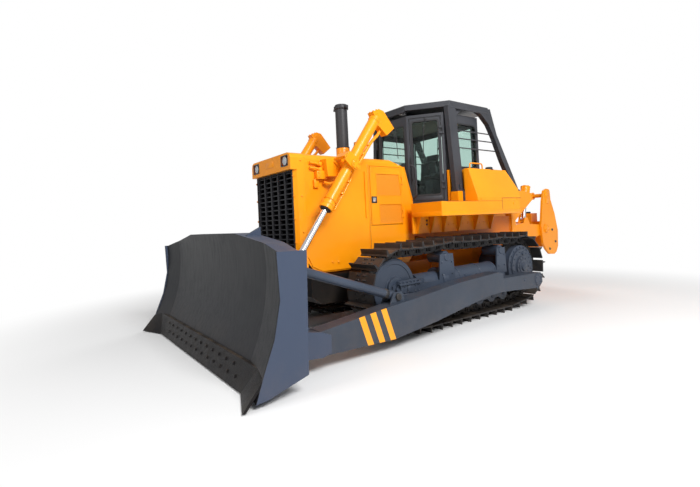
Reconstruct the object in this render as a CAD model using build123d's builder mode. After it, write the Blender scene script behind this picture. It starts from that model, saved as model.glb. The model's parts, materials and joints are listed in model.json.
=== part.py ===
"""Crawler dozer with a semi-U blade and a single-shank ripper.

Millimetres.  +X is forward, +Y is the machine's left and +Z is up.  The origin
is on the ground, under the middle of the machine's overall length and width.
"""

from build123d import *
from math import asin, atan2, cos, hypot, pi, radians, sin, sqrt, tan
import os

os.makedirs("parts", exist_ok=True)

# ---------------------------------------------------------------- clearances
SEAT_GAP = 0.3  # between a piece and the seat that it rests on
RUN_GAP = 6.0  # between pieces that pass each other
SIDES = (("left", 1), ("right", -1))
WHEEL_SIDES = 20  # flats on wheels that the track hides

# ---------------------------------------------------------------- tracks
TRACK_Y = 1070.0
SHOE_W = 560.0
LINKS = 41
PIN_Z = 160.0  # pin line of the ground run
SPROCKET_X = -1552.0
SPROCKET_Z = 715.0
SPROCKET_PIN_R = 494.0
IDLER_X = 1598.0
IDLER_Z = 700.0
IDLER_PIN_R = 480.0
RAIL_DEPTH = 55.0  # pin line to the rail surface that rolls
RAIL_Y = 70.0  # rail centre from the track's centre
RAIL_W = 40.0
SHOE_SEAT = 62.0  # pin line to the shoes' inner face
SHOE_TOP = 82.0  # pin line to the shoes' outer face
RUN_SAG = 22.0
ROLLER_R = 108.0
ROLLERS = 7
ROLLER_FRONT_X = 1010.0
ROLLER_REAR_X = -950.0
RUN_OVERHANG = 110.0  # ground run beyond the end rollers
CARRIER_R = 95.0
CARRIER_X = (-930.0, 520.0)
CARRIER_PIN_Z = 1220.0

# ---------------------------------------------------------------- hull
HULL_HALF_W = 540.0
HULL_BOTTOM = 500.0
HULL_REAR_X = -2420.0
HULL_FRONT_X = 2560.0
CASE_TOP = 1660.0
CASE_FRONT_X = 480.0
RAIL_TOP = 960.0
TOW_EYE = (2640.0, 580.0)
TOW_EYE_R = 32.0
TOW_EYE_W = 70.0

# ---------------------------------------------------------------- hood and nose
HOOD_HALF_W = 560.0
HOOD_WALL = 20.0
HOOD_BOTTOM = 970.0
HOOD_TOP = 2670.0
HOOD_FRONT_X = 2662.0
HOOD_STEP_X = 950.0  # where the hood's top starts to fall
HOOD_ROUND = 80.0  # top side edges
HOOD_CORNER = 280.0  # lower front corner, rounded
HOOD_REAR_TOP = (659.0, 2580.0)
HOOD_REAR_LOW = (488.0, 2015.0)
NOSE_FRONT_X = 2888.0
NOSE_HALF_W = 610.0
BROW_BOTTOM = 2430.0
NOSE_STEP = 60.0  # brow in front of the nose below it
LAMP_Y = 450.0
LAMP_Z = 2562.0
LAMP_R = 66.0
GRILLE_HALF_W = 545.0
GRILLE_BOTTOM = 1010.0
GRILLE_BARS = 6
GRILLE_SLATS = 20
ENGINE_DOOR_X = (738.0, 1434.0)
ENGINE_DOOR_Z = (1598.0, 2545.0)
VENT_DEPTH = 10.0
STACK_X = 1504.0
STACK_R = 102.0
STACK_TOP = 3639.0
PRECLEANER = (1012.0, -180.0)
PRECLEANER_TOP = 3085.0

# ---------------------------------------------------------------- platform
FENDER_TOP = 1925.0
FENDER_BOTTOM = 1700.0
FENDER_FRONT_X = 703.0
FENDER_REAR_X = -1435.0
FENDER_Y = (565.0, TRACK_Y + SHOE_W / 2)
FENDER_NECK = (470.0, 724.0)  # cut away in front of this x, inside this y
FOOT_TOP = 2110.0  # blocks on the fenders that the canopy's posts stand on
TANK_FRONT_X = -205.0
TANK_TOP = 2490.0
TANK_REAR_X = -1480.0

# ---------------------------------------------------------------- cab and canopy
CAB_FLOOR = FENDER_TOP + SEAT_GAP
CAB_TOP = 3500.0
CAB_WALL = 45.0
CAB_FRONT = (348.0, 360.0)
CAB_SIDE = (-52.0, 850.0)
CAB_REAR_X = -1010.0
SILL_Z = 1972.0
LINTEL_Z = 3450.0
WINDOW_Z = (2480.0, 3342.0)
SIDE_SILL_Z = 2560.0
FRONT_SILL_Z = 2420.0
DOOR_FRAME = 38.0
GLASS_T = 8.0
ROOF_Z = (3590.0, 3690.0)
ROOF_FRONT = (378.0, 365.0)
ROOF_SIDE = (-113.0, 963.0)
ROOF_REAR = (-1262.0, 915.0)
ROOF_EDGE = 14.0  # bevel of the roof's upper edges
POST_X = -152.0
POST_TOP_Y = 918.0
POST_FOOT_Y = 1010.0
POST_SECTION = (200.0, 90.0)

# ---------------------------------------------------------------- blade and arms
BLADE_BACK_X = 3585.0
ARM_PIVOT = (-1400.0, 525.0)
ARM_PIN_R = 70.0
ARM_Y = TRACK_Y + 470.0
ARM_W = 220.0
ARM_END = (BLADE_BACK_X - 385.0, 310.0)
ARM_END_R = 150.0
BLADE_STRAIGHT_Y = 1600.0
BLADE_HALF_W = 2062.0
WING_ANGLE = 10.0
END_PLATE_T = 26.0
EDGE_TOP = 300.0
EDGE_BOTTOM = 15.0
EDGE_REACH = 556.0  # cutting edge's lower lip, from the blade's back
EDGE_RISE = 468.0  # cutting edge's upper lip, from the blade's back
EDGE_T = 38.0
BIT_TOP_Y = 1830.0  # an end bit's inner corner at the top
BIT_LOW_Y = 1600.0  # and at the bottom
BIT_TOP_Z = 258.0  # an end bit's outer corner
BIT_REACH = 738.0  # an end bit's outer tip, from the blade's back
LIFT_Y = HOOD_HALF_W + 290.0
LIFT_TOP = (2048.0, 2480.0)  # trunnion
LIFT_EYE = (BLADE_BACK_X - 195.0, 640.0)
BARREL_R = 84.0
BARREL_BORE = 60.0
LIFT_ROD_R = 42.0
BARREL_DOWN = 767.0  # trunnion to gland
BARREL_UP = 915.0  # trunnion to the closed end
ROD_INSIDE = 230.0  # trunnion to the rod's inner end, towards the eye

BRACE_REAR = (1930.0, ARM_Y - 40.0, 668.0)
BRACE_FRONT = (BLADE_BACK_X - 125.0, ARM_Y - 140.0, 1190.0)
BRACE_R = 58.0
BRACE_BOSS = 64.0  # half width of a brace's end boss

# ---------------------------------------------------------------- ripper
RIP_A = (-2500.0, 1350.0)  # lower arm on the hull
RIP_REACH = (-1300.0, -10.0)  # from A to B and from C to D
RIP_C = (-2600.0, 2110.0)  # tilt link on the hull
RIP_EYE = (-3105.0, 1551.0)  # lift rod on the lower arm
RIP_TRUNNION = (-3215.0, 2060.0)
RIP_LIFT_Y = 430.0
RIP_LINK_Y = 205.0
RIP_PLATE_Y = 541.0  # middle of the carrier's side plates
RIP_PLATE_T = 48.0


def side_face(points, y=0.0):
    """Closed outline of (x, z) points on the plane at y."""
    with BuildSketch(Plane.XZ.offset(-y)) as sketch:
        with BuildLine():
            Polyline(points, close=True)
        make_face()
    return sketch.sketch


def top_face(points, z=0.0):
    """Closed outline of (x, y) points at height z."""
    with BuildSketch(Plane.XY.offset(z)) as sketch:
        with BuildLine():
            Polyline(points, close=True)
        make_face()
    return sketch.sketch


def front_face(points, x=0.0):
    """Closed outline of (y, z) points on the plane at x."""
    with BuildSketch(Plane.YZ.offset(x)) as sketch:
        with BuildLine():
            Polyline(points, close=True)
        make_face()
    return sketch.sketch


def disc(centre, axis, radius):
    """Round face about an axis, ready to extrude along it."""
    with BuildSketch(Plane(origin=centre, z_dir=axis)) as sketch:
        Circle(radius)
    return sketch.sketch


def cross_disc(x, z, y, radius):
    """Round face on the plane at y, about an axis that runs across."""
    with BuildSketch(Plane.XZ.offset(-y)) as sketch:
        with Locations((x, z)):
            Circle(radius)
    return sketch.sketch


def cross_wheel(x, z, y, radius):
    """Many-sided face about an axis that runs across, for wheels that the track hides."""
    with BuildSketch(Plane.XZ.offset(-y)) as sketch:
        with Locations((x, z)):
            RegularPolygon(radius, WHEEL_SIDES)
    return sketch.sketch


def flat_quad(a, b, c, d):
    """Four-cornered face through points that lie in one plane."""
    plane = Plane(origin=a, x_dir=b - a, z_dir=(b - a).cross(d - a))
    with BuildSketch(plane) as sketch:
        with BuildLine():
            Polyline([plane.to_local_coords(corner) for corner in (a, b, c, d)], close=True)
        make_face()
    return sketch.sketch


def box_at(x, y, z):
    """Box between (low, high) pairs on each axis."""
    return Pos((x[0] + x[1]) / 2, (y[0] + y[1]) / 2, (z[0] + z[1]) / 2) * Box(
        x[1] - x[0], y[1] - y[0], z[1] - z[0], mode=Mode.PRIVATE
    )


def mirrored(half, sign):
    """(low, high) pair of a range on the left, on the side of the sign."""
    return sorted((sign * half[0], sign * half[1]))


def save(builder, label):
    """Label a finished piece and write it."""
    builder.part.label = label
    export_step(builder.part, f"parts/{label}.step")


# ================================================================ tracks
def pin_loop():
    """Pins of one track: a belt round its wheels, equal steps apart."""
    roller_z = PIN_Z + RAIL_DEPTH + ROLLER_R
    carrier_belt = CARRIER_R + RAIL_DEPTH
    # x, z, belt radius, in the order front-going on top
    wheels = (
        (SPROCKET_X, SPROCKET_Z, SPROCKET_PIN_R),
        (CARRIER_X[0], CARRIER_PIN_Z - carrier_belt, carrier_belt),
        (CARRIER_X[1], CARRIER_PIN_Z - carrier_belt, carrier_belt),
        (IDLER_X, IDLER_Z, IDLER_PIN_R),
        (ROLLER_FRONT_X + RUN_OVERHANG, roller_z, ROLLER_R + RAIL_DEPTH),
        (ROLLER_REAR_X - RUN_OVERHANG, roller_z, ROLLER_R + RAIL_DEPTH),
    )
    tangents = []
    for (x1, z1, r1), (x2, z2, r2) in zip(wheels, wheels[1:] + wheels[:1]):
        along = atan2(z2 - z1, x2 - x1)
        lean = asin((r1 - r2) / hypot(x2 - x1, z2 - z1))
        normal = along + pi / 2 - lean
        start = (x1 + r1 * cos(normal), z1 + r1 * sin(normal))
        end = (x2 + r2 * cos(normal), z2 + r2 * sin(normal))
        tangents.append((start, end, normal))
    runs = []
    for i, (start, end, normal) in enumerate(tangents):
        runs.append(("line", hypot(end[0] - start[0], end[1] - start[1]), start, end))
        x, z, r = wheels[(i + 1) % len(wheels)]
        turn = (normal - tangents[(i + 1) % len(wheels)][2]) % (2 * pi)
        runs.append(("arc", r * turn, (x, z, r), normal))
    total = sum(run[1] for run in runs)
    pins = []
    for k in range(LINKS):
        s = total * k / LINKS
        for kind, length, first, second in runs:
            if s < length:
                break
            s -= length
        if kind == "line":
            t = s / length
            sag = 4 * RUN_SAG * t * (1 - t) if first[1] > IDLER_Z + IDLER_PIN_R / 2 else 0
            pins.append((first[0] + t * (second[0] - first[0]), first[1] + t * (second[1] - first[1]) - sag))
        else:
            a = second - s / first[2]
            pins.append((first[0] + first[2] * cos(a), first[1] + first[2] * sin(a)))
    return pins


PINS = pin_loop()


def track_outline(stations):
    """Outline through (share of a link's length, height over the pin line) stations."""
    points = []
    for (x1, z1), (x2, z2) in zip(PINS, PINS[1:] + PINS[:1]):
        length = hypot(x2 - x1, z2 - z1)
        ux = (x2 - x1) / length
        uz = (z2 - z1) / length
        for share, out in stations:
            s = share * length
            points.append((x1 + ux * s - uz * out, z1 + uz * s + ux * out))
    return points


SHOE_OUTLINE = ((0.02, 68), (0.05, SHOE_TOP), (0.72, SHOE_TOP), (0.79, PIN_Z), (0.87, PIN_Z), (0.91, 68))
RAIL_INNER = ((0.14, -20), (0.2, -RAIL_DEPTH), (0.8, -RAIL_DEPTH), (0.86, -20))

for side, sign in SIDES:
    with BuildPart() as track:
        extrude(side_face(track_outline(SHOE_OUTLINE), sign * TRACK_Y), amount=SHOE_W / 2, both=True)
        inner = side_face(track_outline(((0.5, SHOE_SEAT),)), sign * TRACK_Y)
        extrude(inner, amount=SHOE_W / 2, both=True, mode=Mode.SUBTRACT)
        rail_ring = side_face(track_outline(((0.5, SHOE_SEAT + 2),))) - side_face(track_outline(RAIL_INNER))
        for rail_y in (-RAIL_Y, RAIL_Y):
            extrude(Pos(0, sign * TRACK_Y + rail_y, 0) * rail_ring, amount=RAIL_W / 2, both=True)
    save(track, f"track_{side}")

# ---------------------------------------------------------------- wheels of the tracks
RAIL_Z = PIN_Z + RAIL_DEPTH
ROLLER_Z = RAIL_Z + ROLLER_R + SEAT_GAP
ROLLER_STEP = (ROLLER_FRONT_X - ROLLER_REAR_X) / (ROLLERS - 1)
ROLLER_FLANGE_R = ROLLER_R + 20
FRAME_CHEEK_Y = 150.0  # roller shafts' carriers, from the track's centre
ROLLER_FLANGE_T = 45.0
ROLLER_HALF = FRAME_CHEEK_Y - SEAT_GAP - ROLLER_FLANGE_T
GUARD_T = 25.0

with BuildPart() as track_rollers:
    for _, sign in SIDES:
        for i in range(ROLLERS):
            x = ROLLER_REAR_X + i * ROLLER_STEP
            y = sign * TRACK_Y
            extrude(cross_wheel(x, ROLLER_Z, y, ROLLER_R), amount=ROLLER_HALF, both=True)
            for flange in (-1, 1):
                flange_y = y + flange * (ROLLER_HALF + ROLLER_FLANGE_T / 2)
                flange_face = cross_wheel(x, ROLLER_Z, flange_y, ROLLER_FLANGE_R)
                extrude(flange_face, amount=ROLLER_FLANGE_T / 2, both=True)
save(track_rollers, "track_rollers")

CARRIER_Z = CARRIER_PIN_Z - RAIL_DEPTH - CARRIER_R - 12
with BuildPart() as carrier_rollers:
    for _, sign in SIDES:
        for x in CARRIER_X:
            y = sign * TRACK_Y
            extrude(cross_wheel(x, CARRIER_Z, y, CARRIER_R), amount=FRAME_CHEEK_Y - SEAT_GAP, both=True)
save(carrier_rollers, "carrier_rollers")

half_chord = hypot(PINS[0][0] - PINS[1][0], PINS[0][1] - PINS[1][1]) / 2
IDLER_TREAD_R = sqrt(IDLER_PIN_R**2 - half_chord**2) - RAIL_DEPTH - 2
# radius and half width
IDLER_STEPS = (
    (IDLER_TREAD_R, 105.0),
    (IDLER_TREAD_R + 25, RAIL_Y - RAIL_W / 2 - 8),
    (150.0, FRAME_CHEEK_Y - SEAT_GAP),
)
with BuildPart() as idlers:
    for _, sign in SIDES:
        for radius, half in IDLER_STEPS:
            extrude(cross_disc(IDLER_X, IDLER_Z, sign * TRACK_Y, radius), amount=half, both=True)
save(idlers, "idlers")

SPROCKET_TEETH = 27
SPROCKET_BORE = 300.0
SPROCKET_HALF = 42.0
# share of a tooth's step and height over the pin line
TOOTH = ((-0.5, -30), (-0.22, -26), (-0.1, 12), (0.1, 12), (0.22, -26))
with BuildPart() as sprockets:
    for _, sign in SIDES:
        teeth = []
        for i in range(SPROCKET_TEETH):
            for turn, radius in TOOTH:
                a = 2 * pi * (i + turn) / SPROCKET_TEETH
                r = SPROCKET_PIN_R + radius
                teeth.append((SPROCKET_X + r * cos(a), SPROCKET_Z + r * sin(a)))
        extrude(side_face(teeth, sign * TRACK_Y), amount=SPROCKET_HALF, both=True)
        bore = cross_disc(SPROCKET_X, SPROCKET_Z, sign * TRACK_Y, SPROCKET_BORE + SEAT_GAP)
        extrude(bore, amount=SPROCKET_HALF + 1, both=True, mode=Mode.SUBTRACT)
save(sprockets, "sprockets")

HUB_Y = TRACK_Y + SPROCKET_HALF + 8  # inner face of the final drive's housing
HUB_R = 388.0
# radius, inner y, outer y
HUB_STEPS = (
    (SPROCKET_BORE, HULL_HALF_W + SEAT_GAP, HUB_Y),
    (HUB_R, HUB_Y, HUB_Y + 115),
    (HUB_R - 70, HUB_Y + 115, HUB_Y + 140),
    (190.0, HUB_Y + 140, HUB_Y + 165),
)
PIVOT_COLLAR_R = 112.0
PIVOT_END = ARM_W / 2 - 50  # trunnion's end, past the arm's middle
for side, sign in SIDES:
    with BuildPart() as final_drive:
        for radius, y1, y2 in HUB_STEPS:
            face = cross_disc(SPROCKET_X, SPROCKET_Z, sign * (y1 + y2) / 2, radius)
            extrude(face, amount=(y2 - y1) / 2, both=True)
        # trunnion that carries the push arm
        for radius, outer in ((ARM_PIN_R, ARM_Y + PIVOT_END), (PIVOT_COLLAR_R, ARM_Y - ARM_W / 2 - RUN_GAP)):
            inner = HUB_Y + 100
            face = cross_disc(ARM_PIVOT[0], ARM_PIVOT[1], sign * (inner + outer) / 2, radius)
            extrude(face, amount=(outer - inner) / 2, both=True)
    save(final_drive, f"final_drive_{side}")

# ---------------------------------------------------------------- track frames
FRAME_BOTTOM = ROLLER_Z + ROLLER_FLANGE_R + 12
FRAME_TOP = 720.0
FRAME_X = (-1080.0, 1120.0)
RECOIL_R = 165.0
RECOIL_Z = 700.0
# start, end and radius of the recoil housing's steps
RECOIL_STEPS = ((-800.0, 560.0, RECOIL_R), (540.0, 1140.0, RECOIL_R - 25), (500.0, 580.0, RECOIL_R + 25))
GUARD = (ROLLER_Z - 60, FRAME_BOTTOM + 10)
IDLER_YOKE = ((1050, 610), (1560, 620), (1690, 660), (1690, 740), (1560, 780), (1050, 790))
IDLER_CAP = ((1180, 560), (1640, 575), (1655, 690), (1600, 800), (1260, 812), (1180, 740))
IDLER_CAP_T = 45.0
# carrier's x, half width at the foot, half width at the top
POSTS = ((CARRIER_X[0], 150.0, 118.0), (CARRIER_X[1], 190.0, 152.0))
for side, sign in SIDES:
    y = sign * TRACK_Y
    with BuildPart() as track_frame:
        beam = (
            (FRAME_X[0], FRAME_BOTTOM),
            (FRAME_X[1], FRAME_BOTTOM),
            (FRAME_X[1] + 10, FRAME_TOP - 60),
            (FRAME_X[1] - 20, FRAME_TOP),
            (FRAME_X[0] + 180, FRAME_TOP),
            (FRAME_X[0] + 60, FRAME_TOP - 80),
        )
        extrude(side_face(beam, y), amount=FRAME_CHEEK_Y + GUARD_T, both=True)
        for x1, x2, radius in RECOIL_STEPS:
            extrude(disc((x1, y, RECOIL_Z), (1, 0, 0), radius), amount=x2 - x1)
        for cheek in (-1, 1):
            cheek_y = y + cheek * (FRAME_CHEEK_Y + GUARD_T / 2)
            guard = (
                (ROLLER_REAR_X - 90, GUARD[0]),
                (ROLLER_FRONT_X + 90, GUARD[0]),
                (ROLLER_FRONT_X + 90, GUARD[1]),
                (ROLLER_REAR_X - 90, GUARD[1]),
            )
            extrude(side_face(guard, cheek_y), amount=GUARD_T / 2, both=True)
            extrude(side_face(IDLER_YOKE, cheek_y), amount=GUARD_T / 2, both=True)
        outer_y = y + sign * (FRAME_CHEEK_Y + GUARD_T / 2)
        for x, foot, head in POSTS:
            post = (
                (x - foot, FRAME_TOP - 60),
                (x + foot, FRAME_TOP - 60),
                (x + head, CARRIER_Z + 50),
                (x - head, CARRIER_Z + 50),
            )
            extrude(side_face(post, outer_y), amount=GUARD_T / 2, both=True)
        cap_y = outer_y + sign * (GUARD_T + IDLER_CAP_T) / 2
        extrude(side_face(IDLER_CAP, cap_y), amount=IDLER_CAP_T / 2, both=True)
    save(track_frame, f"track_frame_{side}")

# ================================================================ hull
TAIL_X = CAB_REAR_X - 20  # behind it the hull drops to the case's top
RAIL_REAR_X = CASE_FRONT_X - 420
RAIL_SIDE = (410.0, 510.0)  # inner and outer y of the hull's front rails
RAIL_LOW = 620.0
BELLY_T = 30.0
BELLY_HALF = 505.0
BELLY_RISE = 160.0  # length of the belly's sloping ends
SKIRT_T = 30.0
MEMBER_X = (1900.0, 2000.0)
with BuildPart() as main_frame:
    case = (
        (HULL_REAR_X, HULL_BOTTOM + 140),
        (HULL_REAR_X + BELLY_RISE, HULL_BOTTOM),
        (RAIL_REAR_X + 20, HULL_BOTTOM),
        (RAIL_REAR_X + 20, 1300),
        (CASE_FRONT_X, 1400),
        (CASE_FRONT_X, FENDER_TOP),
        (TAIL_X, FENDER_TOP),
        (TAIL_X, CASE_TOP),
        (HULL_REAR_X, CASE_TOP),
    )
    extrude(side_face(case), amount=HULL_HALF_W, both=True)
    belly = (
        (RAIL_REAR_X, HULL_BOTTOM),
        (HULL_FRONT_X - BELLY_RISE, HULL_BOTTOM),
        (HULL_FRONT_X, RAIL_LOW),
        (HULL_FRONT_X, RAIL_LOW + BELLY_T + 10),
        (HULL_FRONT_X - BELLY_RISE - 10, HULL_BOTTOM + BELLY_T),
        (RAIL_REAR_X, HULL_BOTTOM + BELLY_T),
    )
    extrude(side_face(belly), amount=BELLY_HALF, both=True)
    skirt = (
        (RAIL_REAR_X, HULL_BOTTOM),
        (HULL_FRONT_X - BELLY_RISE, HULL_BOTTOM),
        (HULL_FRONT_X, RAIL_LOW),
        (HULL_FRONT_X, RAIL_LOW + 20),
        (RAIL_REAR_X, RAIL_LOW + 20),
    )
    for sign in (-1, 1):
        add(box_at((RAIL_REAR_X, HULL_FRONT_X), mirrored(RAIL_SIDE, sign), (RAIL_LOW, RAIL_TOP)))
        extrude(side_face(skirt, sign * (RAIL_SIDE[1] - SKIRT_T / 2)), amount=SKIRT_T / 2, both=True)
    add(box_at((HULL_FRONT_X - 60, HULL_FRONT_X), (-BELLY_HALF, BELLY_HALF), (RAIL_LOW, RAIL_TOP)))
    add(box_at(MEMBER_X, (-RAIL_SIDE[0] - 10, RAIL_SIDE[0] + 10), (RAIL_TOP - 200, RAIL_TOP)))
    eye_z = (TOW_EYE[1] - 60, TOW_EYE[1] + 60)
    add(box_at((HULL_FRONT_X - 100, TOW_EYE[0] + 60), (-TOW_EYE_W / 2, TOW_EYE_W / 2), eye_z))
    extrude(cross_disc(TOW_EYE[0], TOW_EYE[1], 0, TOW_EYE_R), amount=TOW_EYE_W, both=True, mode=Mode.SUBTRACT)
save(main_frame, "main_frame")

# x, z, radius, hull's side
SHAFTS = ((900.0, 600.0, 85.0, RAIL_SIDE[1]), (-900.0, 620.0, 100.0, HULL_HALF_W))
with BuildPart() as cross_shafts:
    for sign in (-1, 1):
        y2 = TRACK_Y - FRAME_CHEEK_Y - GUARD_T - SEAT_GAP
        for x, z, radius, hull_y in SHAFTS:
            y1 = hull_y + SEAT_GAP
            extrude(disc((x, sign * y1, z), (0, sign, 0), radius), amount=y2 - y1)
save(cross_shafts, "cross_shafts")

ENGINE_X = (640.0, 1880.0)
ENGINE_HALF_W = 360.0
ENGINE_TOP = 1900.0
ENGINE_FEET_X = (900.0, 1600.0)
with BuildPart() as engine:
    floor = RAIL_TOP + SEAT_GAP
    add(box_at(ENGINE_X, (-ENGINE_HALF_W, ENGINE_HALF_W), (floor, ENGINE_TOP)))
    for x in ENGINE_FEET_X:
        add(box_at((x - 60, x + 60), (-RAIL_SIDE[0] - 25, RAIL_SIDE[0] + 25), (floor, floor + 50)))
save(engine, "engine")

# ================================================================ hood and nose
SIDE_PLATE_T = 12.0
SIDE_PLATE = (
    (HOOD_FRONT_X - 12, 1774),
    (2482, 1769),
    (1909, 2146),
    (1821, 2111),
    (1508, 1487),
    (1508, HOOD_BOTTOM + 12),
    (HOOD_FRONT_X - 262, HOOD_BOTTOM + 12),
    (HOOD_FRONT_X - 96, HOOD_BOTTOM + 92),
    (HOOD_FRONT_X - 22, HOOD_BOTTOM + 240),
    (HOOD_FRONT_X - 12, HOOD_BOTTOM + 320),
)
RIDGE_X = (1522.0, 1547.0)
RIDGE_Z = (1727.0, 2446.0)
HINGE_STEP = 8.0  # engine door's hinge axis behind the door's edge
HINGE_PIN_R = 14.0
DOOR_HINGE_Z = (ENGINE_DOOR_Z[0] + 200, ENGINE_DOOR_Z[1] - 200)
KNUCKLE = 50.0
with BuildPart() as hood:
    shell = (
        (HOOD_REAR_LOW[0], HOOD_BOTTOM + 200),
        (HOOD_REAR_LOW[0] + 150, HOOD_BOTTOM),
        (HOOD_FRONT_X, HOOD_BOTTOM),
        (HOOD_FRONT_X, HOOD_TOP),
        (HOOD_STEP_X, HOOD_TOP),
        HOOD_REAR_TOP,
        HOOD_REAR_LOW,
    )
    extrude(side_face(shell), amount=HOOD_HALF_W, both=True)
    fillet(hood.edges().filter_by(Axis.Y).sort_by_distance(Vector(HOOD_FRONT_X, 0, HOOD_BOTTOM))[0], HOOD_CORNER)
    top_edges = [
        hood.edges().sort_by_distance(Vector(x, sign * HOOD_HALF_W, z))[0]
        for sign in (-1, 1)
        for x, z in (
            ((HOOD_STEP_X + HOOD_FRONT_X) / 2, HOOD_TOP),
            ((HOOD_STEP_X + HOOD_REAR_TOP[0]) / 2, (HOOD_TOP + HOOD_REAR_TOP[1]) / 2),
        )
    ]
    fillet(top_edges, HOOD_ROUND)
    for inset, drop in ((HOOD_WALL, HOOD_ROUND), (HOOD_ROUND, HOOD_WALL)):
        cavity = (
            (HOOD_REAR_LOW[0] + HOOD_WALL, HOOD_BOTTOM - 10),
            (HOOD_FRONT_X + 10, HOOD_BOTTOM - 10),
            (HOOD_FRONT_X + 10, HOOD_TOP - drop),
            (HOOD_STEP_X, HOOD_TOP - drop),
            (HOOD_REAR_TOP[0] + HOOD_WALL, HOOD_REAR_TOP[1] - drop),
            (HOOD_REAR_LOW[0] + HOOD_WALL, HOOD_REAR_LOW[1]),
        )
        extrude(side_face(cavity), amount=HOOD_HALF_W - inset, both=True, mode=Mode.SUBTRACT)
    add(box_at(ENGINE_DOOR_X, (-HOOD_HALF_W - 1, HOOD_HALF_W + 1), ENGINE_DOOR_Z), mode=Mode.SUBTRACT)
    axis_x = ENGINE_DOOR_X[0] - HINGE_STEP
    for sign in (-1, 1):
        extrude(side_face(SIDE_PLATE, sign * (HOOD_HALF_W + SIDE_PLATE_T / 2 - 1)), amount=SIDE_PLATE_T / 2 + 1, both=True)
        add(box_at(RIDGE_X, mirrored((HOOD_HALF_W - 5, HOOD_HALF_W + SIDE_PLATE_T + 8), sign), RIDGE_Z))
        for z in DOOR_HINGE_Z:
            extrude(disc((axis_x, sign * (HOOD_HALF_W + HINGE_PIN_R), z - 30), (0, 0, 1), HINGE_PIN_R), amount=60)
            add(box_at((axis_x - 22, axis_x - 5), mirrored((HOOD_HALF_W - 5, HOOD_HALF_W + 12), sign), (z - 30, z + 30)))
        # flange that seats on the hull's rail
        flange_y = mirrored((RAIL_SIDE[1] - 60, HOOD_HALF_W - 5), sign)
        flange_x = (HOOD_REAR_LOW[0] + 160, HOOD_FRONT_X - HOOD_CORNER - 10)
        add(box_at(flange_x, flange_y, (RAIL_TOP + SEAT_GAP, HOOD_BOTTOM + 12)))
save(hood, "hood")

# (x, z) outlines of a door's two air vents
VENTS = (
    ((ENGINE_DOOR_X[0] + 68, 2415), (1290, 2415), (1290, 2080), (ENGINE_DOOR_X[0] + 32, 2080)),
    ((ENGINE_DOOR_X[0] + 32, 1925), (1245, 1925), (1245, 1630), (ENGINE_DOOR_X[0] + 32, 1630)),
)
for side, sign in SIDES:
    with BuildPart() as engine_door:
        x1 = ENGINE_DOOR_X[0] + RUN_GAP
        x2 = ENGINE_DOOR_X[1] - RUN_GAP
        z1 = ENGINE_DOOR_Z[0] + RUN_GAP
        z2 = ENGINE_DOOR_Z[1] - RUN_GAP
        add(box_at((x1, x2), mirrored((HOOD_HALF_W - HOOD_WALL, HOOD_HALF_W + 4), sign), (z1, z2)))
        for vent in VENTS:
            vent_face = side_face(vent, sign * (HOOD_HALF_W + 4))
            extrude(vent_face, amount=VENT_DEPTH, both=True, mode=Mode.SUBTRACT)
        for z in DOOR_HINGE_Z:
            for knuckle in (z - 30 - SEAT_GAP - KNUCKLE, z + 30 + SEAT_GAP):
                pin = disc((axis_x, sign * (HOOD_HALF_W + HINGE_PIN_R), knuckle), (0, 0, 1), HINGE_PIN_R)
                extrude(pin, amount=KNUCKLE)
                leaf_y = mirrored((HOOD_HALF_W + 2, HOOD_HALF_W + HINGE_PIN_R), sign)
                add(box_at((axis_x, x1 + 24), leaf_y, (knuckle, knuckle + KNUCKLE)))
    save(engine_door, f"engine_door_{side}")

NOSE_BEVEL = 48.0
MOUTH_LIP = 20.0
with BuildPart() as radiator_guard:
    nose_rear = HOOD_FRONT_X + SEAT_GAP
    nose_front = NOSE_FRONT_X - NOSE_STEP
    lower = (
        (nose_rear, -NOSE_HALF_W),
        (nose_front - NOSE_BEVEL, -NOSE_HALF_W),
        (nose_front, -NOSE_HALF_W + NOSE_BEVEL),
        (nose_front, NOSE_HALF_W - NOSE_BEVEL),
        (nose_front - NOSE_BEVEL, NOSE_HALF_W),
        (nose_rear, NOSE_HALF_W),
    )
    extrude(top_face(lower, HOOD_BOTTOM + 30), amount=BROW_BOTTOM - HOOD_BOTTOM - 30 + 5)
    brow = (
        (-NOSE_HALF_W, BROW_BOTTOM),
        (NOSE_HALF_W, BROW_BOTTOM),
        (NOSE_HALF_W, HOOD_TOP - 75),
        (NOSE_HALF_W - 22, HOOD_TOP - 22),
        (NOSE_HALF_W - 75, HOOD_TOP),
        (-NOSE_HALF_W + 75, HOOD_TOP),
        (-NOSE_HALF_W + 22, HOOD_TOP - 22),
        (-NOSE_HALF_W, HOOD_TOP - 75),
    )
    extrude(front_face(brow, nose_rear), amount=NOSE_FRONT_X - nose_rear)
    mouth_x = (HOOD_FRONT_X, NOSE_FRONT_X - 30)
    mouth_z = (GRILLE_BOTTOM, BROW_BOTTOM - MOUTH_LIP)
    add(box_at(mouth_x, (-GRILLE_HALF_W, GRILLE_HALF_W), mouth_z), mode=Mode.SUBTRACT)
    for sign in (-1, 1):
        socket_y = mirrored((LAMP_Y - 98, LAMP_Y + 98), sign)
        add(box_at((NOSE_FRONT_X - 45, NOSE_FRONT_X + 5), socket_y, (LAMP_Z - 76, LAMP_Z + 76)), mode=Mode.SUBTRACT)
        extrude(disc((NOSE_FRONT_X - 50, sign * LAMP_Y, LAMP_Z), (1, 0, 0), LAMP_R), amount=36)
save(radiator_guard, "radiator_guard")

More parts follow.
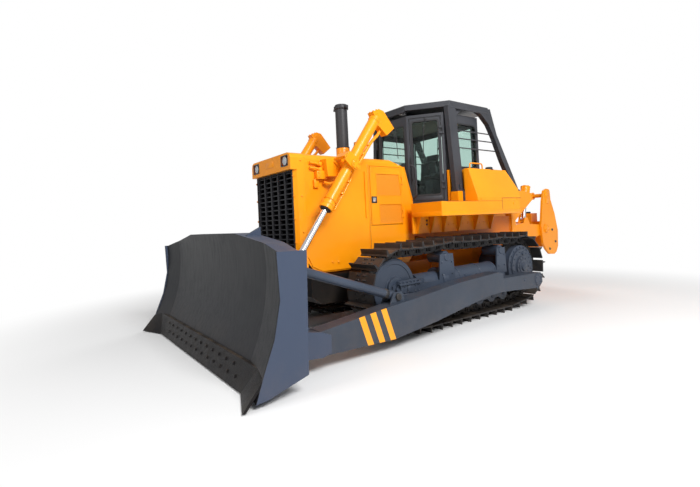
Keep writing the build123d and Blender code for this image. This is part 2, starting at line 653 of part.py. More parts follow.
GRILLE_TOP = BROW_BOTTOM - MOUTH_LIP
GRILLE_X = NOSE_FRONT_X - 110
with BuildPart() as grille:
    half = GRILLE_HALF_W - SEAT_GAP
    z1 = GRILLE_BOTTOM + SEAT_GAP
    z2 = GRILLE_TOP - SEAT_GAP
    for i in range(GRILLE_BARS):
        y = -half + 20 + i * (2 * half - 40) / (GRILLE_BARS - 1)
        add(box_at((GRILLE_X, GRILLE_X + 45), (y - 20, y + 20), (z1, z2)))
    for i in range(GRILLE_SLATS):
        z = z1 + 15 + i * (z2 - z1 - 30) / (GRILLE_SLATS - 1)
        add(box_at((GRILLE_X + 10, GRILLE_X + 35), (-half, half), (z - 9, z + 9)))
save(grille, "grille")

STACK_FOOT = HOOD_TOP + SEAT_GAP
# radius, bottom, top
STACK_STEPS = (
    (150.0, STACK_FOOT, HOOD_TOP + 80),
    (STACK_R + 8, HOOD_TOP + 80, HOOD_TOP + 245),
    (STACK_R, HOOD_TOP + 245, STACK_TOP),
    (STACK_R + 16, STACK_TOP - 61, STACK_TOP - 25),
)
with BuildPart() as exhaust_stack:
    for radius, low, high in STACK_STEPS:
        extrude(disc((STACK_X, 0, low), (0, 0, 1), radius), amount=high - low)
    bore = disc((STACK_X, 0, STACK_TOP - 320), (0, 0, 1), STACK_R - 10)
    extrude(bore, amount=400, mode=Mode.SUBTRACT)
save(exhaust_stack, "exhaust_stack")

with BuildPart() as precleaner:
    neck_top = PRECLEANER_TOP - 120
    for radius, low, high in ((52, STACK_FOOT, neck_top), (84, neck_top, PRECLEANER_TOP)):
        extrude(disc((*PRECLEANER, low), (0, 0, 1), radius), amount=high - low)
save(precleaner, "precleaner")

# ================================================================ platform and tanks
POST_NOTCH = 12.0
VALANCE_LOW = 1430.0
VALANCE_Y = (720.0, 745.0)
RIB_X = (620.0, 300.0, -20.0, -420.0, -900.0, -1380.0)
RIB_REACH = 865.0
FOOT_Y = (938.0, 1090.0)
CHEEK_PLATE_Y = (CAB_SIDE[1] + 22, FOOT_Y[0] - 24)
for side, sign in SIDES:
    with BuildPart() as fender:
        add(box_at((FENDER_REAR_X, FENDER_FRONT_X), mirrored(FENDER_Y, sign), (FENDER_BOTTOM, FENDER_TOP)))
        neck = box_at(
            (FENDER_NECK[0], FENDER_FRONT_X + 1),
            mirrored((FENDER_Y[0] - 1, FENDER_NECK[1]), sign),
            (FENDER_BOTTOM - 1, FENDER_TOP + 1),
        )
        add(neck, mode=Mode.SUBTRACT)
        root_y = mirrored((HULL_HALF_W + SEAT_GAP, FENDER_Y[0] + 5), sign)
        add(box_at((TAIL_X, CASE_FRONT_X - 10), root_y, (FENDER_BOTTOM, FENDER_TOP)))
        add(box_at((FENDER_REAR_X, FENDER_FRONT_X), mirrored(VALANCE_Y, sign), (VALANCE_LOW, FENDER_BOTTOM + 1)))
        for x in RIB_X:
            rib = (
                (sign * (VALANCE_Y[1] - 5), VALANCE_LOW),
                (sign * (VALANCE_Y[1] + 20), VALANCE_LOW),
                (sign * RIB_REACH, FENDER_BOTTOM + 1),
                (sign * (VALANCE_Y[1] - 5), FENDER_BOTTOM + 1),
            )
            extrude(front_face(rib, x), amount=12, both=True)
        # block that a post of the canopy stands on
        add(box_at((POST_X - 110, POST_X + 110), mirrored(FOOT_Y, sign), (FENDER_TOP - 1, FOOT_TOP)))
    save(fender, f"fender_{side}")

TANK_LEAN = ((FENDER_Y[1] + 2, 1980.0), (FENDER_Y[1] + 2, 2600.0), (1140.0, 2600.0), (1190.0, TANK_TOP))
for side, sign in SIDES:
    with BuildPart() as side_tank:
        body = (
            (TANK_FRONT_X, FENDER_TOP + SEAT_GAP),
            (TANK_FRONT_X, TANK_TOP),
            (TANK_REAR_X + 190, TANK_TOP),
            (TANK_REAR_X, 2140),
            (FENDER_REAR_X - 25, FENDER_TOP + SEAT_GAP),
        )
        inner_y = CHEEK_PLATE_Y[0]
        extrude(side_face(body, sign * (inner_y + FENDER_Y[1]) / 2), amount=(FENDER_Y[1] - inner_y) / 2, both=True)
        lean = [(sign * y, z) for y, z in TANK_LEAN]
        extrude(front_face(lean, TANK_REAR_X - 10), amount=TANK_FRONT_X - TANK_REAR_X + 20, mode=Mode.SUBTRACT)
        # room for the canopy's post, and the cheek between it and the cab
        room_x = (POST_X - 110 - POST_NOTCH, POST_X + 110)
        room_y = mirrored((FOOT_Y[0] - POST_NOTCH, FOOT_Y[1] + POST_NOTCH), sign)
        add(box_at(room_x, room_y, (FENDER_TOP, TANK_TOP + 10)), mode=Mode.SUBTRACT)
        cheek_y = mirrored(CHEEK_PLATE_Y, sign)
        add(box_at((TANK_FRONT_X - 1, POST_X + 100), cheek_y, (FENDER_TOP + SEAT_GAP, TANK_TOP)))
    save(side_tank, f"side_tank_{side}")

REAR_TANK_X = (-2230.0, TAIL_X - 30)
REAR_TANK_TOP = 2200.0
WING_TANK_TOP = 2140.0
WING_TANK_Y = (530.0, 1010.0)
with BuildPart() as fuel_tank:
    z0 = CASE_TOP + SEAT_GAP
    body = (
        (REAR_TANK_X[0], z0),
        (REAR_TANK_X[1], z0),
        (REAR_TANK_X[1], REAR_TANK_TOP - 80),
        (REAR_TANK_X[1] - 80, REAR_TANK_TOP),
        (REAR_TANK_X[0] + 60, REAR_TANK_TOP),
        (REAR_TANK_X[0], REAR_TANK_TOP - 60),
    )
    extrude(side_face(body), amount=FENDER_Y[0] - 10, both=True)
    for sign in (-1, 1):
        wing = box_at((REAR_TANK_X[0], TANK_REAR_X - 15), mirrored(WING_TANK_Y, sign), (FENDER_BOTTOM + 100, WING_TANK_TOP))
        add(wing)
save(fuel_tank, "fuel_tank")

# ================================================================ cab
def cab_plan(inset):
    """Half-hexagon plan of the cab, its walls moved inwards."""
    (fx, fy), (sx, sy) = CAB_FRONT, CAB_SIDE
    slope = hypot(fx - sx, sy - fy)
    nx = (sy - fy) / slope
    ny = (fx - sx) / slope
    # front corner: on the moved front wall and the moved diagonal
    level = nx * fx + ny * fy - inset
    front_x = fx - inset
    front_y = (level - nx * front_x) / ny
    side_y = sy - inset
    side_x = (level - ny * side_y) / nx
    return (
        (front_x, front_y),
        (side_x, side_y),
        (CAB_REAR_X + inset, side_y),
        (CAB_REAR_X + inset, -side_y),
        (side_x, -side_y),
        (front_x, -front_y),
    )


DOOR_LEN = hypot(CAB_FRONT[0] - CAB_SIDE[0], CAB_SIDE[1] - CAB_FRONT[1])
PILLAR = 42.0


def door_plane(sign):
    """Plane of the cab's diagonal wall: x to the front, z outwards, from the rear corner."""
    along = Vector(CAB_FRONT[0] - CAB_SIDE[0], sign * (CAB_FRONT[1] - CAB_SIDE[1]), 0).normalized()
    outward = Vector(-sign * along.Y, sign * along.X, 0)
    return Plane(origin=(CAB_SIDE[0], sign * CAB_SIDE[1], 0), x_dir=along, z_dir=outward)


def wall_panel(plane, along, height, depth):
    """Block in a door's plane: along and height ranges, from depth[0] to depth[1] outwards."""
    # the plane's y runs up on one side and down on the other
    up = 1 if plane.y_dir.Z > 0 else -1
    centre_z = up * (height[0] + height[1]) / 2
    block = Pos((along[0] + along[1]) / 2, centre_z, (depth[0] + depth[1]) / 2) * Box(
        along[1] - along[0], height[1] - height[0], depth[1] - depth[0], mode=Mode.PRIVATE
    )
    return plane * block


HINGE_OUT = 16.0
HINGE_R = 13.0
HINGE_BACK = 10.0  # hinge axis from the rear corner, along the wall
HINGE_Z = (2250.0, 3200.0)
HINGE_HALF = 30.0
FRONT_PANE_Y = CAB_FRONT[1] - 55
REAR_PANE_Y = CAB_SIDE[1] - 130
SIDE_PANE_X = (CAB_REAR_X + 70, CAB_SIDE[0] - 110)
PANE_CORNER = 60.0
with BuildPart() as cab_shell:
    extrude(top_face(cab_plan(0), CAB_FLOOR), amount=CAB_TOP - CAB_FLOOR)
    extrude(top_face(cab_plan(CAB_WALL), CAB_FLOOR + 40), amount=CAB_TOP - CAB_FLOOR - 90, mode=Mode.SUBTRACT)
    front_x = (CAB_FRONT[0] - 60, CAB_FRONT[0] + 20)
    add(box_at(front_x, (-FRONT_PANE_Y, FRONT_PANE_Y), (FRONT_SILL_Z, WINDOW_Z[1])), mode=Mode.SUBTRACT)
    add(box_at((CAB_REAR_X - 20, CAB_REAR_X + 60), (-REAR_PANE_Y, REAR_PANE_Y), WINDOW_Z), mode=Mode.SUBTRACT)
    with BuildSketch(Plane.XZ) as side_window:
        with Locations(((SIDE_PANE_X[0] + SIDE_PANE_X[1]) / 2, (SIDE_SILL_Z + WINDOW_Z[1]) / 2)):
            RectangleRounded(SIDE_PANE_X[1] - SIDE_PANE_X[0], WINDOW_Z[1] - SIDE_SILL_Z, PANE_CORNER)
    extrude(side_window.sketch, amount=CAB_SIDE[1] + 20, both=True, mode=Mode.SUBTRACT)
    for _, sign in SIDES:
        plane = door_plane(sign)
        opening = wall_panel(plane, (PILLAR, DOOR_LEN - PILLAR), (SILL_Z, LINTEL_Z), (-CAB_WALL - 40, 30))
        add(opening, mode=Mode.SUBTRACT)
        for z in HINGE_Z:
            centre = plane.from_local_coords(Vector(HINGE_BACK, 0, HINGE_OUT))
            extrude(disc((centre.X, centre.Y, z - HINGE_HALF), (0, 0, 1), HINGE_R), amount=2 * HINGE_HALF)
            add(wall_panel(plane, (0, 20), (z - HINGE_HALF, z + HINGE_HALF), (-8, HINGE_OUT)))
save(cab_shell, "cab_shell")

LEAF = 40.0
for side, sign in SIDES:
    plane = door_plane(sign)
    span = (PILLAR + RUN_GAP, DOOR_LEN - PILLAR - RUN_GAP)
    rise = (SILL_Z + RUN_GAP, LINTEL_Z - RUN_GAP)
    pane_span = (span[0] + DOOR_FRAME, span[1] - DOOR_FRAME)
    pane_rise = (rise[0] + 105, rise[1] - 55)
    with BuildPart() as cab_door:
        add(wall_panel(plane, span, rise, (-CAB_WALL, 0)))
        add(wall_panel(plane, pane_span, pane_rise, (-CAB_WALL - 10, 10)), mode=Mode.SUBTRACT)
        for z in HINGE_Z:
            centre = plane.from_local_coords(Vector(HINGE_BACK, 0, HINGE_OUT))
            for knuckle in (z - HINGE_HALF - SEAT_GAP - LEAF, z + HINGE_HALF + SEAT_GAP):
                extrude(disc((centre.X, centre.Y, knuckle), (0, 0, 1), HINGE_R), amount=LEAF)
                leaf = (knuckle, knuckle + LEAF)
                add(wall_panel(plane, (HINGE_BACK, span[0] + 30), leaf, (6, HINGE_OUT + 4)))
                add(wall_panel(plane, (span[0], span[0] + 30), leaf, (-5, HINGE_OUT)))
        add(wall_panel(plane, (span[1] - 30, span[1] - 8), (2500, 2680), (-2, 30)))
    save(cab_door, f"cab_door_{side}")
    with BuildPart() as door_glass:
        pane = (pane_span[0] + SEAT_GAP, pane_span[1] - SEAT_GAP)
        tall = (pane_rise[0] + SEAT_GAP, pane_rise[1] - SEAT_GAP)
        add(wall_panel(plane, pane, tall, (-CAB_WALL / 2 - GLASS_T / 2, -CAB_WALL / 2 + GLASS_T / 2)))
    save(door_glass, f"door_glass_{side}")

with BuildPart() as cab_glass:
    g = SEAT_GAP
    front_x = CAB_FRONT[0] - CAB_WALL / 2
    rear_x = CAB_REAR_X + CAB_WALL / 2
    half_t = GLASS_T / 2
    front_y = (-FRONT_PANE_Y + g, FRONT_PANE_Y - g)
    rear_y = (-REAR_PANE_Y + g, REAR_PANE_Y - g)
    add(box_at((front_x - half_t, front_x + half_t), front_y, (FRONT_SILL_Z + g, WINDOW_Z[1] - g)))
    add(box_at((rear_x - half_t, rear_x + half_t), rear_y, (WINDOW_Z[0] + g, WINDOW_Z[1] - g)))
    for sign in (-1, 1):
        with BuildSketch(Plane.XZ.offset(-sign * (CAB_SIDE[1] - CAB_WALL / 2))) as side_pane:
            with Locations(((SIDE_PANE_X[0] + SIDE_PANE_X[1]) / 2, (SIDE_SILL_Z + WINDOW_Z[1]) / 2)):
                width = SIDE_PANE_X[1] - SIDE_PANE_X[0] - 2 * g
                RectangleRounded(width, WINDOW_Z[1] - SIDE_SILL_Z - 2 * g, PANE_CORNER)
        extrude(side_pane.sketch, amount=half_t, both=True)
save(cab_glass, "cab_glass")

CAB_DECK = CAB_FLOOR + 40
SEAT_X = (-620.0, -120.0)
SEAT_HALF_W = 260.0
SEAT_RISE = 330.0
BACK_RISE = 1000.0
with BuildPart() as seat:
    add(box_at(SEAT_X, (-SEAT_HALF_W, SEAT_HALF_W), (CAB_DECK + SEAT_GAP, CAB_DECK + SEAT_RISE)))
    back = (
        (SEAT_X[0] - 20, CAB_DECK + SEAT_RISE - 30),
        (SEAT_X[0] + 120, CAB_DECK + SEAT_RISE - 30),
        (SEAT_X[0] + 40, CAB_DECK + BACK_RISE),
        (SEAT_X[0] - 70, CAB_DECK + BACK_RISE),
    )
    extrude(side_face(back), amount=SEAT_HALF_W - 10, both=True)
save(seat, "seat")

DASH_HALF_W = 240.0
with BuildPart() as console:
    dash = (
        (170, CAB_DECK + SEAT_GAP),
        (290, CAB_DECK + SEAT_GAP),
        (290, 2640),
        (210, 2700),
        (110, 2560),
        (150, 2440),
    )
    extrude(side_face(dash), amount=DASH_HALF_W, both=True)
save(console, "console")

STRUT_Y = 918.0
STRUT_HALF = 45.0
with BuildPart() as rops_canopy:
    corners = (ROOF_FRONT, ROOF_SIDE, (ROOF_REAR[0] + 62, ROOF_SIDE[1]), ROOF_REAR)
    roof = corners + tuple((x, -y) for x, y in reversed(corners))
    extrude(top_face(roof, ROOF_Z[0]), amount=ROOF_Z[1] - ROOF_Z[0])
    chamfer(rops_canopy.faces().sort_by(Axis.Z)[-1].edges(), ROOF_EDGE)
    for sign in (-1, 1):
        half_y = POST_SECTION[1] / 2
        post = (
            (sign * (POST_TOP_Y - half_y), ROOF_Z[0] + 10),
            (sign * (POST_TOP_Y + half_y), ROOF_Z[0] + 10),
            (sign * (POST_FOOT_Y + half_y), FOOT_TOP + SEAT_GAP),
            (sign * (POST_FOOT_Y - half_y), FOOT_TOP + SEAT_GAP),
        )
        extrude(front_face(post, POST_X), amount=POST_SECTION[0] / 2, both=True)
        strut = (
            (-1262, ROOF_Z[1] - 20),
            (-1438, 3203),
            (-2095, WING_TANK_TOP + SEAT_GAP),
            (-1960, WING_TANK_TOP + SEAT_GAP),
            (-1582, 2722),
            (-1360, 3140),
            (-1194, 3380),
            (-1004, 3530),
            (-880, ROOF_Z[0]),
            (-880, ROOF_Z[0] + 10),
        )
        extrude(side_face(strut, sign * STRUT_Y), amount=STRUT_HALF, both=True)
save(rops_canopy, "rops_canopy")

# ================================================================ blade, arms and lift
WING_SPAN = BLADE_HALF_W - BLADE_STRAIGHT_Y
WING_SWEEP = WING_SPAN * tan(radians(WING_ANGLE))
OVERRUN = 1.5  # the swept forms run past the ends and are cut off there
with BuildLine() as plan:
    Polyline(
        (BLADE_BACK_X + OVERRUN * WING_SWEEP, -BLADE_STRAIGHT_Y - OVERRUN * WING_SPAN, 0),
        (BLADE_BACK_X, -BLADE_STRAIGHT_Y, 0),
        (BLADE_BACK_X, BLADE_STRAIGHT_Y, 0),
        (BLADE_BACK_X + OVERRUN * WING_SWEEP, BLADE_STRAIGHT_Y + OVERRUN * WING_SPAN, 0),
    )
start_plane = Plane(origin=plan.line @ 0, z_dir=plan.line % 0, x_dir=(plan.line % 0).cross(Vector(0, 0, 1)))
up = 1 if start_plane.y_dir.Z > 0 else -1


def trim_ends(half):
    """Blocks past each end of the blade."""
    return [
        box_at((BLADE_BACK_X - 600, BLADE_BACK_X + 1400), mirrored((half, half + 900), sign), (-50, 2000))
        for sign in (-1, 1)
    ]


HORN_Y = 1060.0
HORN = (
    (BLADE_BACK_X + 10, 1540),
    (BLADE_BACK_X + 200, 1540),
    (BLADE_BACK_X + 190, 1565),
    (BLADE_BACK_X + 12, 1655),
)
EAR_T = 30.0
ARM_EAR_T = 40.0
BRACE_EAR_T = 24.0
ROD_EYE_HALF = 40.0
with BuildPart() as blade:
    section_points = (
        (BLADE_BACK_X + 35, 215),
        (BLADE_BACK_X + 35, 620),
        (BLADE_BACK_X + 60, 680),
        (BLADE_BACK_X + 60, 1180),
        (BLADE_BACK_X + 5, 1240),
        (BLADE_BACK_X + 5, 1560),
        (BLADE_BACK_X + 60, 1590),
        (BLADE_BACK_X + 248, 1590),
    )
    with BuildSketch(start_plane) as blade_section:
        with BuildLine():
            local = [(x - BLADE_BACK_X, up * z) for x, z in section_points]
            Polyline(local)
            ThreePointArc(local[-1], (225, up * 950), (420, up * EDGE_TOP))
            Polyline((420, up * EDGE_TOP), (512, up * 60), (440, up * 80), local[0])
        make_face()
    sweep(blade_section.sketch, path=plan.line, transition=Transition.RIGHT)
    add(trim_ends(BLADE_HALF_W - END_PLATE_T / 2), mode=Mode.SUBTRACT)
    cutaway = (
        (-2200, 1390),
        (-2050, 1400),
        (-1650, 1475),
        (-845, 1590),
        (845, 1590),
        (1650, 1475),
        (2050, 1400),
        (2200, 1390),
        (2200, 1700),
        (-2200, 1700),
    )
    extrude(front_face(cutaway, 3400), amount=900, mode=Mode.SUBTRACT)
    extrude(side_face(HORN, HORN_Y), amount=20, both=True)
    for sign in (-1, 1):
        end = (
            (BLADE_BACK_X, 1404),
            (BLADE_BACK_X + 335, 1410),
            (BLADE_BACK_X + 316, 950),
            (BLADE_BACK_X + 390, 600),
            (BLADE_BACK_X + 512, EDGE_TOP),
            (BLADE_BACK_X + 600, 60),
            (BLADE_BACK_X + 480, 70),
            (BLADE_BACK_X + 34, 197),
        )
        extrude(side_face(end, sign * (BLADE_HALF_W - END_PLATE_T / 2)), amount=END_PLATE_T / 2, both=True)
        # ears for the lift rod's eye
        for ear in (-1, 1):
            ear_y = sign * LIFT_Y + ear * (ROD_EYE_HALF + RUN_GAP + EAR_T / 2)
            plate = (
                (LIFT_EYE[0] - 60, LIFT_EYE[1] - 70),
                (LIFT_EYE[0] - 60, LIFT_EYE[1] + 70),
                (LIFT_EYE[0] + 30, LIFT_EYE[1] + 90),
                (BLADE_BACK_X + 61, LIFT_EYE[1] + 220),
                (BLADE_BACK_X + 61, LIFT_EYE[1] - 260),
                (LIFT_EYE[0] + 30, LIFT_EYE[1] - 90),
            )
            extrude(side_face(plate, ear_y), amount=EAR_T / 2, both=True)
        # ears that hold the push arm's end
        for ear in (-1, 1):
            ear_y = sign * ARM_Y + ear * (ARM_W / 2 + SEAT_GAP + ARM_EAR_T / 2)
            plate = (
                (ARM_END[0] - 120, ARM_END[1] - 100),
                (ARM_END[0] - 120, ARM_END[1] + 100),
                (ARM_END[0], ARM_END[1] + 150),
                (BLADE_BACK_X + 70, ARM_END[1] + 230),
                (BLADE_BACK_X + 70, ARM_END[1] - 90),
                (ARM_END[0], ARM_END[1] - 130),
            )
            extrude(side_face(plate, ear_y), amount=ARM_EAR_T / 2, both=True)
        for ear in (-1, 1):
            ear_y = sign * BRACE_FRONT[1] + ear * (BRACE_BOSS + SEAT_GAP + BRACE_EAR_T / 2)
            plate = (
                (BRACE_FRONT[0] - 60, BRACE_FRONT[2] - 80),
                (BRACE_FRONT[0] - 60, BRACE_FRONT[2] + 80),
                (BLADE_BACK_X + 61, BRACE_FRONT[2] + 150),
                (BLADE_BACK_X + 61, BRACE_FRONT[2] - 150),
            )
            extrude(side_face(plate, ear_y), amount=BRACE_EAR_T / 2, both=True)
save(blade, "blade")

with BuildPart() as cutting_edge:
    for sign in (-1, 1):
        # front corners of the straight edge's end, then of the bit's end, upper one first
        upper = Vector(BLADE_BACK_X + EDGE_RISE, sign * BIT_TOP_Y, EDGE_TOP)
        lower = Vector(BLADE_BACK_X + EDGE_REACH, sign * BIT_LOW_Y, EDGE_BOTTOM)
        outer_upper = Vector(BLADE_BACK_X + EDGE_RISE + 62, sign * BLADE_HALF_W, BIT_TOP_Z)
        outer_lower = Vector(BLADE_BACK_X + BIT_REACH, sign * BLADE_HALF_W, EDGE_BOTTOM)
        back = Vector(-EDGE_T, 0, 0)
        inner_face = flat_quad(upper, lower, lower + back, upper + back)
        outer_face = flat_quad(outer_upper, outer_lower, outer_lower + back, outer_upper + back)
        loft(sections=[inner_face, outer_face], ruled=True)
        middle_upper = Vector(upper.X, 0, upper.Z)
        middle_lower = Vector(lower.X, 0, lower.Z)
        middle_face = flat_quad(middle_upper, middle_lower, middle_lower + back, middle_upper + back)
        loft(sections=[middle_face, inner_face], ruled=True)
    with BuildSketch(start_plane) as moldboard_side:
        with BuildLine():
            behind = ((420.1, EDGE_TOP + 1), (513.2, 57.5), (440, 77.5), (440, 0), (0, 0), (0, EDGE_TOP + 1))
            Polyline([(x, up * z) for x, z in behind], close=True)
        make_face()
    sweep(moldboard_side.sketch, path=plan.line, transition=Transition.RIGHT, mode=Mode.SUBTRACT)
    for sign in (-1, 1):
        end_y = mirrored((BLADE_HALF_W - END_PLATE_T - SEAT_GAP, BLADE_HALF_W + SEAT_GAP), sign)
        clear = (
            (BLADE_BACK_X, EDGE_TOP + 5),
            (BLADE_BACK_X + 515, EDGE_TOP + 5),
            (BLADE_BACK_X + 604, 56),
            (BLADE_BACK_X, 40),
        )
        extrude(side_face(clear, (end_y[0] + end_y[1]) / 2), amount=(end_y[1] - end_y[0]) / 2, both=True, mode=Mode.SUBTRACT)
save(cutting_edge, "cutting_edge")

ARM_STEP_X = -330.0  # behind it the arm is lower and thinner
ARM_BEAM = (
    (ARM_END[0], ARM_END[1] - 130),
    (2068, 160),
    (1279, 250),
    (645, 350),
    (11, 438),
    (-280, 448),
    (-667, 428),
    (-1278, 388),
    (-1450, 402),
    (-1535, 470),
    (-1535, 590),
    (-1485, 642),
    (ARM_STEP_X - 20, 655),
    (ARM_STEP_X, 745),
    (-220, 772),
    (796, 716),
    (1660, 620),
    (2150, 575),
    (ARM_END[0] - 115, 470),
    (ARM_END[0], ARM_END[1] + 150),
)
for side, sign in SIDES:
    with BuildPart() as push_arm:
        extrude(side_face(ARM_BEAM, sign * ARM_Y), amount=ARM_W / 2, both=True)
        extrude(cross_disc(ARM_END[0], ARM_END[1], sign * ARM_Y, ARM_END_R - 8), amount=ARM_W / 2, both=True)
        thin_y = mirrored((ARM_Y + ARM_W / 2 - 18, ARM_Y + ARM_W / 2 + 1), sign)
        add(box_at((-1600, ARM_STEP_X - 8), thin_y, (300, 800)), mode=Mode.SUBTRACT)
        pivot_y = (ARM_W / 2 + PIVOT_END + SEAT_GAP) / 2 - ARM_W / 2
        bore = cross_disc(ARM_PIVOT[0], ARM_PIVOT[1], sign * (ARM_Y + pivot_y), ARM_PIN_R + SEAT_GAP)
        extrude(bore, amount=(ARM_W / 2 + PIVOT_END + SEAT_GAP) / 2, both=True, mode=Mode.SUBTRACT)
        for ear in (-1, 1):
            ear_y = sign * BRACE_REAR[1] + ear * (BRACE_BOSS + SEAT_GAP + BRACE_EAR_T / 2)
            plate = (
                (BRACE_REAR[0] - 130, 585),
                (BRACE_REAR[0] - 70, BRACE_REAR[2] + 60),
                (BRACE_REAR[0] + 70, BRACE_REAR[2] + 60),
                (BRACE_REAR[0] + 150, 570),
            )
            extrude(side_face(plate, ear_y), amount=BRACE_EAR_T / 2, both=True)
    save(push_arm, f"push_arm_{side}")

with BuildPart() as tilt_braces:
    for sign in (-1, 1):
        p = Vector(BRACE_REAR[0], sign * BRACE_REAR[1], BRACE_REAR[2])
        q = Vector(BRACE_FRONT[0], sign * BRACE_FRONT[1], BRACE_FRONT[2])
        extrude(disc(p, q - p, BRACE_R), amount=(q - p).length)
        extrude(cross_disc(p.X, p.Z, p.Y, BRACE_R), amount=BRACE_BOSS, both=True)
        extrude(cross_disc(q.X, q.Z, q.Y, BRACE_R), amount=BRACE_BOSS, both=True)
save(tilt_braces, "tilt_braces")

LIFT_REST = hypot(LIFT_EYE[0] - LIFT_TOP[0], LIFT_TOP[1] - LIFT_EYE[1])
LIFT_DIR = Vector((LIFT_EYE[0] - LIFT_TOP[0]) / LIFT_REST, 0, (LIFT_EYE[1] - LIFT_TOP[1]) / LIFT_REST)
CHEEK_Y = 112.0  # yoke cheek from the barrel's axis
CHEEK_T = 30.0
TRUNNION_R = 45.0
COLLAR_R = BARREL_R + 16
# crosshead on the closed end, from the trunnion
CROSSHEAD = ((-440, 815), (-560, 870), (-655, 850), (-860, 605), (-700, 480), (-560, 600))
CROSSHEAD_HALF = 62.0
# start and end from the trunnion along the barrel, and radius
BARREL_STEPS = (
    (-BARREL_UP, BARREL_DOWN, BARREL_R),
    (-70.0, 70.0, COLLAR_R),
    (BARREL_DOWN - 60, BARREL_DOWN, BARREL_R + 14),
)
with BuildPart() as lift_barrels:
    for sign in (-1, 1):
        t = Vector(LIFT_TOP[0], sign * LIFT_Y, LIFT_TOP[1])
        for low, high, radius in BARREL_STEPS:
            extrude(disc(t + LIFT_DIR * low, LIFT_DIR, radius), amount=high - low)
        crosshead = [(t.X + x, t.Z + z) for x, z in CROSSHEAD]
        extrude(side_face(crosshead, t.Y), amount=CROSSHEAD_HALF, both=True)
        extrude(cross_disc(t.X, t.Z, t.Y, TRUNNION_R), amount=CHEEK_Y + CHEEK_T, both=True)
        chamber = disc(t - LIFT_DIR * (BARREL_UP - 50), LIFT_DIR, BARREL_BORE)
        extrude(chamber, amount=BARREL_UP + BARREL_DOWN - 110, mode=Mode.SUBTRACT)
        extrude(disc(t, LIFT_DIR, LIFT_ROD_R + SEAT_GAP), amount=BARREL_DOWN + 20, mode=Mode.SUBTRACT)
save(lift_barrels, "lift_barrels")

with BuildPart() as lift_rods:
    for sign in (-1, 1):
        t = Vector(LIFT_TOP[0], sign * LIFT_Y, LIFT_TOP[1])
        inner_end = t + LIFT_DIR * ROD_INSIDE
        extrude(disc(inner_end, LIFT_DIR, LIFT_ROD_R), amount=LIFT_REST - ROD_INSIDE)
        extrude(disc(inner_end, LIFT_DIR, BARREL_BORE - SEAT_GAP), amount=50)
        extrude(cross_disc(LIFT_EYE[0], LIFT_EYE[1], t.Y, 75), amount=ROD_EYE_HALF, both=True)
save(lift_rods, "lift_rods")

# outlines from the trunnion
YOKE_CHEEK = ((-95, -70), (20, -90), (185, 60), (95, 185), (-60, 75))
YOKE_BRACKET = ((-128, 22), (148, 113), (314, 104), (287, -148), (77, -142), (-100, -80))
YOKE_BRIDGE = ((70, 145), (100, 180), (175, 115), (145, 80))
with BuildPart() as lift_yokes:
    tx, tz = LIFT_TOP
    cheek_plate = [(tx + x, tz + z) for x, z in YOKE_CHEEK]
    bracket = [(tx + x, tz + z) for x, z in YOKE_BRACKET]
    bridge = [(tx + x, tz + z) for x, z in YOKE_BRIDGE]
    for sign in (-1, 1):
        for cheek in (-1, 1):
            y = sign * LIFT_Y + cheek * (CHEEK_Y + CHEEK_T / 2)
            extrude(side_face(cheek_plate, y), amount=CHEEK_T / 2, both=True)
        y1 = HOOD_HALF_W + SEAT_GAP
        y2 = LIFT_Y - CHEEK_Y - CHEEK_T + 5
        extrude(side_face(bracket, sign * (y1 + y2) / 2), amount=(y2 - y1) / 2, both=True)
        extrude(side_face(bridge, sign * LIFT_Y), amount=CHEEK_Y + 5, both=True)
        pin_hole = cross_disc(tx, tz, sign * LIFT_Y, TRUNNION_R + SEAT_GAP)
        extrude(pin_hole, amount=CHEEK_Y + CHEEK_T + 1, both=True, mode=Mode.SUBTRACT)
save(lift_yokes, "lift_yokes")

